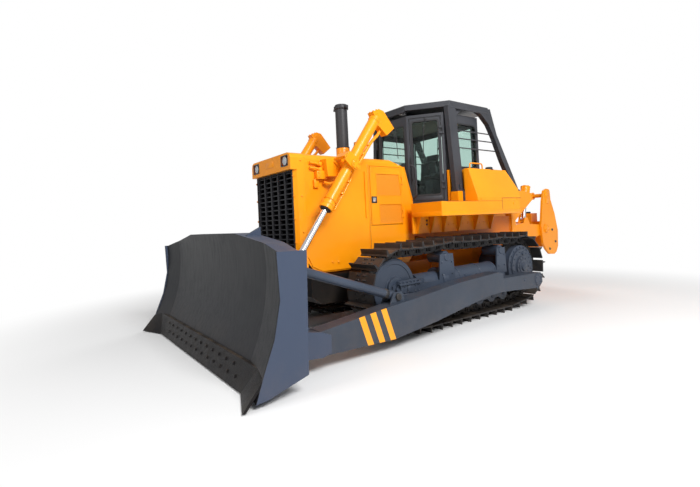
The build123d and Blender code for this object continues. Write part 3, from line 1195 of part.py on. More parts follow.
# ================================================================ ripper
RIP_B = (RIP_A[0] + RIP_REACH[0], RIP_A[1] + RIP_REACH[1])
RIP_D = (RIP_C[0] + RIP_REACH[0], RIP_C[1] + RIP_REACH[1])
RIP_PIN_R = 50.0
RIP_LINK_PIN_R = 40.0
RIP_TRUNNION_R = 45.0
RIP_CHEEK_Y = 128.0  # bracket plate from the lift barrel's axis
RIP_CHEEK_T = 32.0
LIMB_HALF = RIP_PLATE_Y - RIP_PLATE_T / 2 - RUN_GAP - RIP_LIFT_Y
with BuildPart() as ripper_bracket:
    x0 = HULL_REAR_X - SEAT_GAP
    plate = (
        (x0, 1180),
        (RIP_A[0] - 60, RIP_A[1] - 120),
        (RIP_A[0] - 110, RIP_A[1]),
        (RIP_A[0] - 60, RIP_A[1] + 120),
        (RIP_A[0] - 60, 1560),
        (RIP_TRUNNION[0] - 60, RIP_TRUNNION[1] - 60),
        (RIP_TRUNNION[0] - 60, RIP_TRUNNION[1] + 70),
        (RIP_C[0] - 80, RIP_C[1] + 80),
        (x0, RIP_C[1] + 80),
    )
    reach_y = RIP_LIFT_Y + RIP_CHEEK_Y + RIP_CHEEK_T / 2
    for sign in (-1, 1):
        for cheek in (-1, 1):
            y = sign * RIP_LIFT_Y + cheek * RIP_CHEEK_Y
            extrude(side_face(plate, y), amount=RIP_CHEEK_T / 2, both=True)
    # pin holes for the arm, the tilt links and the lift barrels
    holes = ((RIP_A, RIP_PIN_R), (RIP_C, RIP_LINK_PIN_R), (RIP_TRUNNION, RIP_TRUNNION_R))
    for (x, z), radius in holes:
        extrude(cross_disc(x, z, 0, radius + SEAT_GAP), amount=reach_y + 1, both=True, mode=Mode.SUBTRACT)
    add(box_at((x0 - 60, x0), (-reach_y, reach_y), (1480, 2100)))
    add(box_at((x0 - 60, x0), (-reach_y, reach_y), (1100, 1230)))
    # lugs that carry the upper links
    lug = (
        (x0 - 55, RIP_C[1] - 180),
        (RIP_C[0], RIP_C[1] - 70),
        (RIP_C[0] - 70, RIP_C[1]),
        (RIP_C[0] - 20, RIP_C[1] + 70),
        (x0 - 55, RIP_C[1] + 70),
    )
    for sign in (-1, 1):
        for cheek in (-1, 1):
            lug_y = sign * RIP_LINK_Y + cheek * 78
            extrude(side_face(lug, lug_y), amount=11, both=True)
    extrude(cross_disc(*RIP_C, 0, RIP_LINK_PIN_R + SEAT_GAP), amount=reach_y + 1, both=True, mode=Mode.SUBTRACT)
    add(box_at((x0 - 60, x0), (-reach_y, reach_y), (2090, RIP_C[1] + 80)))
save(ripper_bracket, "ripper_bracket")

ARM_BEAM_X = (-3450.0, -3250.0)
with BuildPart() as ripper_arm:
    limb = (
        (RIP_A[0] + 50, RIP_A[1] - 50),
        (RIP_A[0] + 50, RIP_A[1] + 50),
        (RIP_A[0] - 60, RIP_A[1] + 90),
        (RIP_EYE[0] + 150, RIP_EYE[1] - 60),
        (RIP_EYE[0] - 130, RIP_EYE[1] - 90),
        (RIP_B[0], RIP_B[1] + 85),
        (RIP_B[0] - 85, RIP_B[1]),
        (RIP_B[0], RIP_B[1] - 110),
        (RIP_B[0] + 380, RIP_B[1] - 190),
        (RIP_A[0] - 100, RIP_A[1] - 100),
    )
    ear_plate = (
        (RIP_EYE[0] + 130, RIP_EYE[1] - 100),
        (RIP_EYE[0] + 50, RIP_EYE[1] + 55),
        (RIP_EYE[0] - 50, RIP_EYE[1] + 55),
        (RIP_EYE[0] - 150, RIP_EYE[1] - 120),
    )
    for sign in (-1, 1):
        y = sign * RIP_LIFT_Y
        extrude(side_face(limb, y), amount=LIMB_HALF, both=True)
        extrude(cross_disc(*RIP_A, y, RIP_PIN_R), amount=RIP_CHEEK_Y + 16, both=True)
        extrude(cross_disc(*RIP_B, y, RIP_PIN_R), amount=RIP_PLATE_Y + RIP_PLATE_T / 2 - RIP_LIFT_Y, both=True)
        for ear in (-1, 1):
            extrude(side_face(ear_plate, y + ear * 62), amount=12, both=True)
    beam_z = (RIP_B[1] - 120, RIP_B[1] + 60)
    add(box_at(ARM_BEAM_X, (-RIP_LIFT_Y, RIP_LIFT_Y), beam_z))
save(ripper_arm, "ripper_arm")

CARRIER_OUTLINE = (
    (-3893, 2249),
    (-4000, 2240),
    (-4042, 2200),
    (-4063, 1993),
    (-4214, 1672),
    (-4323, 1267),
    (-4292, 908),
    (-4210, 780),
    (-4107, 732),
    (-3900, 745),
    (-3760, 850),
    (-3640, 1000),
    (-3600, 1397),
    (-3713, 1974),
    (-3790, 2200),
)
SHANK_HALF = 45.0
SHANK_X = (-4109.0, -3981.0)
with BuildPart() as ripper_carrier:
    for sign in (-1, 1):
        extrude(side_face(CARRIER_OUTLINE, sign * RIP_PLATE_Y), amount=RIP_PLATE_T / 2, both=True)
    add(box_at((-4270, -3990), (-RIP_PLATE_Y, RIP_PLATE_Y), (900, 1500)))
    add(box_at((-4180, -3910), (-160, 160), (700, 1700)))
    slot_x = (SHANK_X[0] - SEAT_GAP, SHANK_X[1] + SEAT_GAP)
    slot_y = (-SHANK_HALF - SEAT_GAP, SHANK_HALF + SEAT_GAP)
    add(box_at(slot_x, slot_y, (650, 1750)), mode=Mode.SUBTRACT)
    extrude(cross_disc(*RIP_D, 0, 45), amount=RIP_PLATE_Y, both=True)
    extrude(cross_disc(*RIP_B, 0, RIP_PIN_R + SEAT_GAP), amount=900, both=True, mode=Mode.SUBTRACT)
save(ripper_carrier, "ripper_carrier")

with BuildPart() as ripper_shank:
    blade_shape = (
        (SHANK_X[0], 1740),
        (SHANK_X[0], 560),
        (-4060, 400),
        (-3930, 230),
        (-3800, 150),
        (-3860, 290),
        (SHANK_X[1], 560),
        (SHANK_X[1], 1740),
    )
    extrude(side_face(blade_shape), amount=SHANK_HALF, both=True)
save(ripper_shank, "ripper_shank")

# start, end and radius along a link from the hull's pin
LINK_STEPS = ((40.0, 740.0, 66.0), (600.0, -RIP_REACH[0], 40.0))
with BuildPart() as ripper_links:
    for sign in (-1, 1):
        y = sign * RIP_LINK_Y
        p = Vector(RIP_C[0], y, RIP_C[1])
        q = Vector(RIP_D[0], y, RIP_D[1])
        link = (q - p).normalized()
        for low, high, radius in LINK_STEPS:
            extrude(disc(p + link * low, link, radius), amount=high - low)
        extrude(cross_disc(p.X, p.Z, y, 66), amount=60, both=True)
        extrude(cross_disc(p.X, p.Z, y, RIP_LINK_PIN_R), amount=95, both=True)
        extrude(cross_disc(q.X, q.Z, y, 84), amount=45, both=True)
        extrude(cross_disc(q.X, q.Z, y, 45 + RUN_GAP), amount=46, both=True, mode=Mode.SUBTRACT)
save(ripper_links, "ripper_links")

RIP_LIFT_REST = hypot(RIP_EYE[0] - RIP_TRUNNION[0], RIP_TRUNNION[1] - RIP_EYE[1])
RIP_DIR = Vector((RIP_EYE[0] - RIP_TRUNNION[0]) / RIP_LIFT_REST, 0, (RIP_EYE[1] - RIP_TRUNNION[1]) / RIP_LIFT_REST)
RIP_BARREL_R = 98.0
RIP_BORE = 72.0
RIP_ROD_R = 46.0
RIP_BARREL_DOWN = 95.0
RIP_BARREL_UP = 250.0
RIP_WALL = 30.0
RIP_ROD_INSIDE = 168.0  # trunnion to the rod's inner end, away from the eye
with BuildPart() as ripper_lift_barrels:
    for sign in (-1, 1):
        t = Vector(RIP_TRUNNION[0], sign * RIP_LIFT_Y, RIP_TRUNNION[1])
        length = RIP_BARREL_UP + RIP_BARREL_DOWN
        extrude(disc(t - RIP_DIR * RIP_BARREL_UP, RIP_DIR, RIP_BARREL_R), amount=length)
        extrude(cross_disc(t.X, t.Z, t.Y, RIP_TRUNNION_R), amount=RIP_CHEEK_Y + 12, both=True)
        chamber = disc(t - RIP_DIR * (RIP_BARREL_UP - RIP_WALL), RIP_DIR, RIP_BORE)
        extrude(chamber, amount=length - 2 * RIP_WALL, mode=Mode.SUBTRACT)
        extrude(disc(t, RIP_DIR, RIP_ROD_R + SEAT_GAP), amount=RIP_BARREL_DOWN + 20, mode=Mode.SUBTRACT)
save(ripper_lift_barrels, "ripper_lift_barrels")

with BuildPart() as ripper_lift_rods:
    for sign in (-1, 1):
        t = Vector(RIP_TRUNNION[0], sign * RIP_LIFT_Y, RIP_TRUNNION[1])
        inner_end = t - RIP_DIR * RIP_ROD_INSIDE
        extrude(disc(inner_end, RIP_DIR, RIP_ROD_R), amount=RIP_LIFT_REST + RIP_ROD_INSIDE)
        extrude(disc(inner_end, RIP_DIR, RIP_BORE - SEAT_GAP), amount=40)
        extrude(cross_disc(*RIP_EYE, t.Y, 62), amount=44, both=True)
save(ripper_lift_rods, "ripper_lift_rods")
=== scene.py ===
import itertools
import json
import math

import bmesh
import bpy
from mathutils import Matrix, Vector


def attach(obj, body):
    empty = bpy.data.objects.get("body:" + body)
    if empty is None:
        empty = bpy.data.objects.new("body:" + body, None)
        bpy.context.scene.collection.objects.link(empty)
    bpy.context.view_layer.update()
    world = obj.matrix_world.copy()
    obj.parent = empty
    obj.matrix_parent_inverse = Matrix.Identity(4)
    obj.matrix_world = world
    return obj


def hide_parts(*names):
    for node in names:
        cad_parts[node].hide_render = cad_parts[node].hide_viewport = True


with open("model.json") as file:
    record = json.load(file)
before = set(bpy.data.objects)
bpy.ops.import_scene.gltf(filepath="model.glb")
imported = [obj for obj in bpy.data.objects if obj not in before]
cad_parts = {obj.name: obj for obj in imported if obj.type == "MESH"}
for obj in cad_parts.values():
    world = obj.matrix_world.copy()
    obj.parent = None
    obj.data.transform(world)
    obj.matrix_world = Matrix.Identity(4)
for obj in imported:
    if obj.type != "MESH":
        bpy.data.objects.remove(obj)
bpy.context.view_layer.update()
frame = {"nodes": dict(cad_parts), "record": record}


def link(obj):
    """Puts a new object in the scene."""
    bpy.context.scene.collection.objects.link(obj)
    return obj


# ---------------------------------------------------------------- camera
# Metres and degrees, in the row frame: +X forwards, +Y to the machine's left, +Z up.
# The lens and the sensor are in millimetres.
CAMERA_PLACE = (5.764, 5.574, 1.6385)
CAMERA_YAW = 234.824
CAMERA_PITCH = 1.285
CAMERA_ROLL = -2.626
CAMERA_LENS = 21.574
CAMERA_SENSOR = 36.0
CAMERA_SHIFT = (0.0289, -0.0398)


def make_camera():
    """Low three-quarter view of the blade and the machine's left side."""
    yaw, pitch, roll = (math.radians(a) for a in (CAMERA_YAW, CAMERA_PITCH, CAMERA_ROLL))
    ahead = Vector((math.cos(pitch) * math.cos(yaw), math.cos(pitch) * math.sin(yaw), math.sin(pitch)))
    right = ahead.cross(Vector((0, 0, 1))).normalized()
    up = right.cross(ahead)
    side = math.cos(roll) * right + math.sin(roll) * up
    top = math.cos(roll) * up - math.sin(roll) * right
    data = bpy.data.cameras.new("camera")
    data.lens = CAMERA_LENS
    data.sensor_width = CAMERA_SENSOR
    data.shift_x, data.shift_y = CAMERA_SHIFT
    data.clip_end = 500.0
    camera = link(bpy.data.objects.new("camera", data))
    axes = Matrix((side, top, -ahead)).transposed().to_4x4()
    camera.matrix_world = Matrix.Translation(CAMERA_PLACE) @ axes
    bpy.context.scene.camera = camera


make_camera()


# ---------------------------------------------------------------- node helpers
def feed(tree, socket, value):
    """Joins a socket to another one, or sets its plain value."""
    if isinstance(value, bpy.types.NodeSocket):
        tree.links.new(value, socket)
    else:
        socket.default_value = value


def put(tree, kind, feeds=(), **settings):
    """Adds a node: settings are its properties, feeds its input values or the sockets joined to them."""
    item = tree.nodes.new(kind)
    for name, value in settings.items():
        setattr(item, name, value)
    for socket, value in dict(feeds).items():
        feed(tree, item.inputs[socket], value)
    return item


def calc(tree, operation, *values, clamp=False):
    """Math node's result."""
    feeds = dict(enumerate(values))
    return put(tree, "ShaderNodeMath", feeds, operation=operation, use_clamp=clamp).outputs[0]


def ramp(tree, value, low, high, to_low=0.0, to_high=1.0, smooth=True):
    """Value carried from the range low..high to another, without overshoot."""
    feeds = {"Value": value, "From Min": low, "From Max": high, "To Min": to_low, "To Max": to_high}
    kind = "SMOOTHSTEP" if smooth else "LINEAR"
    return put(tree, "ShaderNodeMapRange", feeds, interpolation_type=kind).outputs["Result"]


def blend_colour(tree, share, first, second):
    """First colour turned towards the second by a share."""
    mix = put(tree, "ShaderNodeMix", data_type="RGBA")
    for socket, value in ((0, share), (6, first), (7, second)):
        feed(tree, mix.inputs[socket], value)
    return mix.outputs[2]


def object_place(tree):
    """Point of the surface in the machine's own frame."""
    return put(tree, "ShaderNodeTexCoord").outputs["Object"]


def surface_normal(tree):
    """Direction that the surface faces."""
    return put(tree, "ShaderNodeNewGeometry").outputs["Normal"]


def split(tree, vector):
    """X, Y and Z of a vector."""
    return put(tree, "ShaderNodeSeparateXYZ", {0: vector}).outputs


def noise(tree, scale, detail, rough=0.5, place=None):
    """Noise over the machine's own frame, or over another place."""
    place = object_place(tree) if place is None else place
    feeds = {"Vector": place, "Scale": scale, "Detail": detail, "Roughness": rough}
    return put(tree, "ShaderNodeTexNoise", feeds).outputs["Fac"]


def wave(tree, scale, distortion, direction):
    """Even bands across a direction of the machine's own frame."""
    feeds = {"Vector": object_place(tree), "Scale": scale, "Distortion": distortion}
    return put(tree, "ShaderNodeTexWave", feeds, bands_direction=direction).outputs["Fac"]


def shader_group(name, inputs, outputs):
    """Empty node group with its (kind, name, default) sockets, and its two end nodes."""
    tree = bpy.data.node_groups.new(name, "ShaderNodeTree")
    for kind, label, default in inputs:
        socket = tree.interface.new_socket(label, in_out="INPUT", socket_type=kind)
        socket.default_value = default
    for kind, label in outputs:
        tree.interface.new_socket(label, in_out="OUTPUT", socket_type=kind)
    return tree, tree.nodes.new("NodeGroupInput").outputs, tree.nodes.new("NodeGroupOutput").inputs


FLOAT = "NodeSocketFloat"
VECTOR = "NodeSocketVector"


def edge_wear_and_highlight_group():
    """Rounded edge normal, and a broken mask along the edges: the paints use it both for wear and for a
    painted edge highlight.
    """
    inputs = ((FLOAT, "Width", 0.006), (FLOAT, "Wear", 0.5), (FLOAT, "Grain", 9.0))
    tree, given, result = shader_group("edge_wear_and_highlight", inputs, ((FLOAT, "Mask"), (VECTOR, "Normal")))
    rounded = put(tree, "ShaderNodeBevel", {"Radius": given["Width"]}, samples=4).outputs[0]
    turn = put(tree, "ShaderNodeVectorMath", {0: rounded, 1: surface_normal(tree)}, operation="DOT_PRODUCT")
    edge = ramp(tree, calc(tree, "SUBTRACT", 1.0, turn.outputs["Value"]), 0.015, 0.16)
    chips = ramp(tree, noise(tree, given["Grain"], 5.0, 0.7), 0.47, 0.62)
    mask = calc(tree, "MULTIPLY", calc(tree, "MULTIPLY", edge, chips), given["Wear"], clamp=True)
    tree.links.new(mask, result["Mask"])
    tree.links.new(rounded, result["Normal"])
    return tree


def site_dust_group():
    """Dust that settles on upward faces and rises from the ground in the low parts."""
    inputs = ((FLOAT, "Settled", 0.25), (FLOAT, "Splash", 0.3), (FLOAT, "Reach", 1.0), (FLOAT, "Grain", 3.0))
    tree, given, result = shader_group("site_dust", inputs, ((FLOAT, "Mask"),))
    patch = ramp(tree, noise(tree, given["Grain"], 6.0, 0.65), 0.36, 0.68)
    upward = split(tree, surface_normal(tree))["Z"]
    top = calc(tree, "MULTIPLY", ramp(tree, upward, 0.5, 1.0), given["Settled"])
    height = split(tree, object_place(tree))["Z"]
    low = calc(tree, "MULTIPLY", ramp(tree, height, 0.0, given["Reach"], 1.0, 0.0), given["Splash"])
    mask = calc(tree, "MULTIPLY", calc(tree, "ADD", top, low), calc(tree, "ADD", patch, 0.25), clamp=True)
    tree.links.new(mask, result["Mask"])
    return tree


def film_group():
    """Sprayed enamel: slow change of shade, and the fine ripple of the film."""
    inputs = ((FLOAT, "Cloud", 1.2), (FLOAT, "Ripple", 260.0))
    tree, given, result = shader_group("enamel_film", inputs, ((FLOAT, "Shade"), (FLOAT, "Height")))
    tree.links.new(ramp(tree, noise(tree, given["Cloud"], 3.0), 0.3, 0.7), result["Shade"])
    tree.links.new(noise(tree, given["Ripple"], 2.0), result["Height"])
    return tree


def streak_group():
    """Scratches and run marks drawn out along the height."""
    inputs = ((FLOAT, "Fineness", 26.0), (FLOAT, "Stretch", 0.08))
    tree, given, result = shader_group("run_streaks", inputs, ((FLOAT, "Mask"),))
    shape = put(tree, "ShaderNodeCombineXYZ", {0: 1.0, 1: 1.0, 2: given["Stretch"]}).outputs[0]
    feeds = {0: object_place(tree), 1: shape}
    drawn = put(tree, "ShaderNodeVectorMath", feeds, operation="MULTIPLY").outputs[0]
    tree.links.new(ramp(tree, noise(tree, given["Fineness"], 8.0, 0.72, drawn), 0.42, 0.66), result["Mask"])
    return tree


def grain_group():
    """Cast or forged skin: pits and lumps at two sizes."""
    inputs = ((FLOAT, "Lumps", 14.0), (FLOAT, "Pits", 120.0))
    tree, given, result = shader_group("cast_grain", inputs, ((FLOAT, "Height"), (FLOAT, "Stain")))
    lumps = noise(tree, given["Lumps"], 4.0)
    pits = noise(tree, given["Pits"], 3.0)
    tree.links.new(calc(tree, "ADD", calc(tree, "MULTIPLY", lumps, 0.5), pits), result["Height"])
    tree.links.new(ramp(tree, lumps, 0.4, 0.62), result["Stain"])
    return tree


EDGE_WEAR_AND_HIGHLIGHT = edge_wear_and_highlight_group()
SITE_DUST = site_dust_group()
ENAMEL_FILM = film_group()
RUN_STREAKS = streak_group()
CAST_GRAIN = grain_group()


def group(tree, source, **values):
    """A shared group placed in a material with its own values; returns its outputs."""
    item = put(tree, "ShaderNodeGroup", node_tree=source)
    for name, value in values.items():
        item.inputs[name].default_value = value
    return item.outputs


SHADER_LABELS = {
    "colour": "Base Color", "rough": "Roughness", "metal": "Metallic", "sheen": "Specular IOR Level",
    "coat": "Coat Weight", "coat_rough": "Coat Roughness", "clear": "Transmission Weight", "bend": "IOR",
    "fuzz": "Sheen Weight",
}


def blank_material(name, **plain):
    """Material with only its output and a Principled shader, whose plain values are given."""
    material = bpy.data.materials.new(name)
    material.use_nodes = True
    tree = material.node_tree
    tree.nodes.clear()
    shader = put(tree, "ShaderNodeBsdfPrincipled")
    output = put(tree, "ShaderNodeOutputMaterial")
    tree.links.new(shader.outputs[0], output.inputs["Surface"])
    for label, value in plain.items():
        shader.inputs[SHADER_LABELS[label]].default_value = value
    return material, tree, shader


def relief(tree, shader, height, depth, normal=None):
    """Fine height over an optional edge normal, into the shader."""
    feeds = {"Height": height, "Strength": 1.0, "Distance": depth}
    if normal is not None:
        feeds["Normal"] = normal
    tree.links.new(put(tree, "ShaderNodeBump", feeds).outputs[0], shader.inputs["Normal"])


# ---------------------------------------------------------------- paints
# Each paint: its colour, its deeper shade, and its lighter edge colour, which stands for wear and for a
# painted edge highlight.
YELLOW = ((0.94, 0.325, 0.003, 1), (0.88, 0.280, 0.002, 1), (0.97, 0.46, 0.07, 1))
ORANGE = ((0.78, 0.205, 0.004, 1), (0.66, 0.160, 0.003, 1), (0.85, 0.36, 0.06, 1))
SLATE = ((0.046, 0.062, 0.094, 1), (0.034, 0.046, 0.070, 1), (0.18, 0.21, 0.26, 1))
ARM_SLATE = ((0.036, 0.049, 0.072, 1), (0.028, 0.038, 0.057, 1), (0.16, 0.19, 0.23, 1))
CHARCOAL = ((0.048, 0.050, 0.058, 1), (0.036, 0.038, 0.045, 1), (0.13, 0.135, 0.15, 1))
ENGINE_GREY = ((0.05, 0.052, 0.055, 1), (0.035, 0.036, 0.04, 1), (0.12, 0.12, 0.12, 1))
GRILLE_BLACK = ((0.030, 0.030, 0.034, 1), (0.022, 0.022, 0.025, 1), (0.10, 0.10, 0.105, 1))
STACK_BLACK = ((0.042, 0.042, 0.046, 1), (0.030, 0.030, 0.033, 1), (0.10, 0.10, 0.105, 1))
STRIPE_YELLOW = (0.93, 0.36, 0.012, 1)
# Painted shade: the near-black under the hull's nose.
BELLY_SHADE = (0.010, 0.009, 0.009, 1)
# Painted shade: the black inside the hood.
BAY_SHADE = (0.006, 0.006, 0.007, 1)
DUST_TINT = (0.30, 0.22, 0.15, 1.0)

# Each steel: in its open face, along its rubbed edges, and in its stained hollows.
EDGE_STEEL = ((0.010, 0.010, 0.012, 1), (0.08, 0.083, 0.088, 1), (0.014, 0.013, 0.014, 1))
TRACK_STEEL = ((0.036, 0.036, 0.039, 1), (0.19, 0.19, 0.195, 1), (0.050, 0.046, 0.044, 1))

# The mouldboard: its grey painted darker at the top and lighter low down as shade, its rubbing, the painted
# back, and the edge colour that stands for wear and a painted highlight.
BLADE_TOP_SHADE = (0.010, 0.011, 0.013, 1)
BLADE_LOW_LIGHT = (0.018, 0.019, 0.023, 1)
BLADE_RUBBED = (0.030, 0.032, 0.037, 1)
BLADE_BACK = (0.050, 0.067, 0.108, 1)
BLADE_WORN_AND_HIGHLIGHT = (0.17, 0.185, 0.21, 1)

STRIPE_CENTRES = (2.530, 2.346, 2.162)
STRIPE_HALF = 0.046
STRIPE_LEAN = 0.35
ARM_MID_Z = 0.330
ARM_OUTER_Y = 1.645
# Box inside the hood where its inside is painted black as shade.
BAY_BOX = (("X", 1.765, 1.065), ("Y", 0.0, 0.5485), ("Z", 1.790, 0.770))  # axis, middle, half


def enamel(name, shades, gloss=0.32, coat=0.1, settled=0.12, splash=0.25, sheen=0.3, mask=None, marks_and_shade=None):
    """Machine enamel: two shades, edges lightened for wear and as a painted highlight, dust, and an optional
    mark, which is printed stripes on the arms and painted shade on the hull and hood.
    """
    colour, deep, worn_and_highlight = shades
    material, tree, shader = blank_material(name, sheen=sheen, coat=coat, coat_rough=0.12)
    film = group(tree, ENAMEL_FILM, Cloud=1.2, Ripple=240.0)
    edge = group(tree, EDGE_WEAR_AND_HIGHLIGHT, Width=0.007, Wear=0.25, Grain=11.0)
    dust = group(tree, SITE_DUST, Settled=settled, Splash=splash, Reach=1.1, Grain=3.0)
    paint = blend_colour(tree, film["Shade"], deep, colour)
    if mask is not None:
        paint = blend_colour(tree, mask(tree), paint, marks_and_shade)
    # Wear and painted highlight: the edges turn to the lighter colour.
    paint = blend_colour(tree, edge["Mask"], paint, worn_and_highlight)
    paint = blend_colour(tree, dust["Mask"], paint, DUST_TINT)
    tree.links.new(paint, shader.inputs["Base Color"])
    rough = calc(tree, "ADD", calc(tree, "MULTIPLY", film["Shade"], 0.06), gloss)
    rough = calc(tree, "ADD", rough, calc(tree, "MULTIPLY", dust["Mask"], 0.5), clamp=True)
    tree.links.new(rough, shader.inputs["Roughness"])
    relief(tree, shader, film["Height"], 0.0006, edge["Normal"])
    return material


def bay_shade_mask(tree):
    """Painted shade: black over the inside of the engine bay and the radiator's shroud."""
    axis = split(tree, object_place(tree))
    mask = 1.0
    for name, middle, reach in BAY_BOX:
        apart = calc(tree, "ABSOLUTE", calc(tree, "SUBTRACT", axis[name], middle))
        mask = calc(tree, "MULTIPLY", mask, calc(tree, "LESS_THAN", apart, reach))
    return mask


def belly_shade_mask(tree):
    """Painted shade under the hull's nose, and the painted shade inside the engine bay."""
    axis = split(tree, object_place(tree))
    forward = ramp(tree, axis["X"], 1.30, 1.90)
    low = ramp(tree, axis["Z"], 0.90, 1.06, 1.0, 0.0)
    return calc(tree, "MAXIMUM", calc(tree, "MULTIPLY", forward, low), bay_shade_mask(tree))


def stripe_mask(tree):
    """Three slanted bars over the full height of an arm's outer face."""
    axis = split(tree, object_place(tree))
    lean = calc(tree, "MULTIPLY", calc(tree, "SUBTRACT", axis["Z"], ARM_MID_Z), STRIPE_LEAN)
    along = calc(tree, "SUBTRACT", axis["X"], lean)
    bars = 0.0
    for centre in STRIPE_CENTRES:
        apart = calc(tree, "ABSOLUTE", calc(tree, "SUBTRACT", along, centre))
        bars = calc(tree, "ADD", bars, calc(tree, "LESS_THAN", apart, STRIPE_HALF))
    outer = calc(tree, "GREATER_THAN", calc(tree, "ABSOLUTE", axis["Y"]), ARM_OUTER_Y)
    return calc(tree, "MULTIPLY", bars, outer, clamp=True)


def blade_enamel():
    """Dark grey of the mouldboard, painted darker at the top and lighter low down as shade, drawn over with
    fine vertical rubbing, and its blue-grey back.
    """
    material, tree, shader = blank_material("blade_enamel", sheen=0.2)
    film = group(tree, ENAMEL_FILM, Cloud=0.8, Ripple=180.0)
    edge = group(tree, EDGE_WEAR_AND_HIGHLIGHT, Width=0.008, Wear=0.5, Grain=9.0)
    streaks = group(tree, RUN_STREAKS, Fineness=30.0, Stretch=0.06)
    dust = group(tree, SITE_DUST, Settled=0.12, Splash=0.06, Reach=0.7, Grain=3.0)
    # Painted shade: the face darkens towards its top and lightens towards the ground.
    lower = ramp(tree, split(tree, object_place(tree))["Z"], 0.2, 1.5, 1.0, 0.0)
    front = ramp(tree, split(tree, surface_normal(tree))["X"], 0.25, 0.6)
    face = blend_colour(tree, lower, BLADE_TOP_SHADE, BLADE_LOW_LIGHT)
    face = blend_colour(tree, calc(tree, "MULTIPLY", streaks["Mask"], 0.35), face, BLADE_RUBBED)
    paint = blend_colour(tree, front, BLADE_BACK, face)
    paint = blend_colour(tree, edge["Mask"], paint, BLADE_WORN_AND_HIGHLIGHT)
    paint = blend_colour(tree, dust["Mask"], paint, DUST_TINT)
    tree.links.new(paint, shader.inputs["Base Color"])
    rough = calc(tree, "ADD", calc(tree, "MULTIPLY", streaks["Mask"], 0.12), 0.42)
    rough = calc(tree, "ADD", rough, calc(tree, "MULTIPLY", dust["Mask"], 0.3), clamp=True)
    tree.links.new(rough, shader.inputs["Roughness"])
    relief(tree, shader, film["Height"], 0.0006, edge["Normal"])
    return material


# ---------------------------------------------------------------- metals, glass and trim
def bare_steel(name, shades, splash):
    """Rolled or cast steel, rubbed bright along its edges, with stain in its hollows."""
    dark, light, stained = shades
    material, tree, shader = blank_material(name, sheen=0.2)
    grain = group(tree, CAST_GRAIN, Lumps=10.0, Pits=90.0)
    edge = group(tree, EDGE_WEAR_AND_HIGHLIGHT, Width=0.006, Wear=0.9, Grain=7.0)
    dust = group(tree, SITE_DUST, Settled=0.25, Splash=splash, Reach=1.2, Grain=4.0)
    tone = blend_colour(tree, grain["Stain"], dark, stained)
    tone = blend_colour(tree, edge["Mask"], tone, light)
    tone = blend_colour(tree, dust["Mask"], tone, DUST_TINT)
    tree.links.new(tone, shader.inputs["Base Color"])
    metal = calc(tree, "MULTIPLY", calc(tree, "SUBTRACT", 1.0, dust["Mask"]), 0.5)
    tree.links.new(metal, shader.inputs["Metallic"])
    tree.links.new(ramp(tree, grain["Height"], 0.3, 1.2, 0.35, 0.65), shader.inputs["Roughness"])
    relief(tree, shader, grain["Height"], 0.0015, edge["Normal"])
    return material


def chrome():
    """Ground and plated rod."""
    material, tree, shader = blank_material("hard_chrome", metal=1.0)
    fog = noise(tree, 40.0, 4.0)
    tint = blend_colour(tree, fog, (0.78, 0.79, 0.82, 1), (0.88, 0.88, 0.89, 1))
    tree.links.new(tint, shader.inputs["Base Color"])
    tree.links.new(ramp(tree, fog, 0.3, 0.7, 0.12, 0.24), shader.inputs["Roughness"])
    return material


def cab_glass():
    """Pale green safety glass with a trace of dust."""
    material, tree, shader = blank_material("cab_glass", clear=1.0, bend=1.25)
    film = noise(tree, 2.5, 5.0)
    tint = blend_colour(tree, film, (0.60, 0.75, 0.70, 1), (0.70, 0.82, 0.78, 1))
    tree.links.new(tint, shader.inputs["Base Color"])
    tree.links.new(ramp(tree, film, 0.3, 0.8, 0.02, 0.10), shader.inputs["Roughness"])
    return material


def grained_plastic(name, colour, rough=0.55):
    """Moulded plastic or rubber with a fine pebble grain."""
    material, tree, shader = blank_material(name)
    grain = group(tree, CAST_GRAIN, Lumps=60.0, Pits=420.0)
    edge = group(tree, EDGE_WEAR_AND_HIGHLIGHT, Width=0.003, Wear=0.2, Grain=20.0)
    lighter = tuple(min(1.0, c * 1.8 + 0.01) for c in colour[:3]) + (1.0,)
    tint = blend_colour(tree, calc(tree, "MULTIPLY", grain["Stain"], 0.3), colour, lighter)
    tree.links.new(tint, shader.inputs["Base Color"])
    pebbled = ramp(tree, grain["Height"], 0.3, 1.2, rough - 0.08, rough + 0.12)
    tree.links.new(pebbled, shader.inputs["Roughness"])
    relief(tree, shader, grain["Height"], 0.0008, edge["Normal"])
    return material


def seat_cloth():
    """Dark woven cloth: crossed sets of threads."""
    material, tree, shader = blank_material("seat_cloth", rough=0.9, fuzz=0.3)
    weft, warp, rise = (wave(tree, 160.0, 0.4, direction) for direction in "XYZ")
    weave = calc(tree, "MAXIMUM", weft, calc(tree, "MULTIPLY", warp, rise))
    tint = blend_colour(tree, weave, (0.018, 0.019, 0.022, 1), (0.050, 0.052, 0.058, 1))
    tree.links.new(tint, shader.inputs["Base Color"])
    relief(tree, shader, weave, 0.0008)
    return material


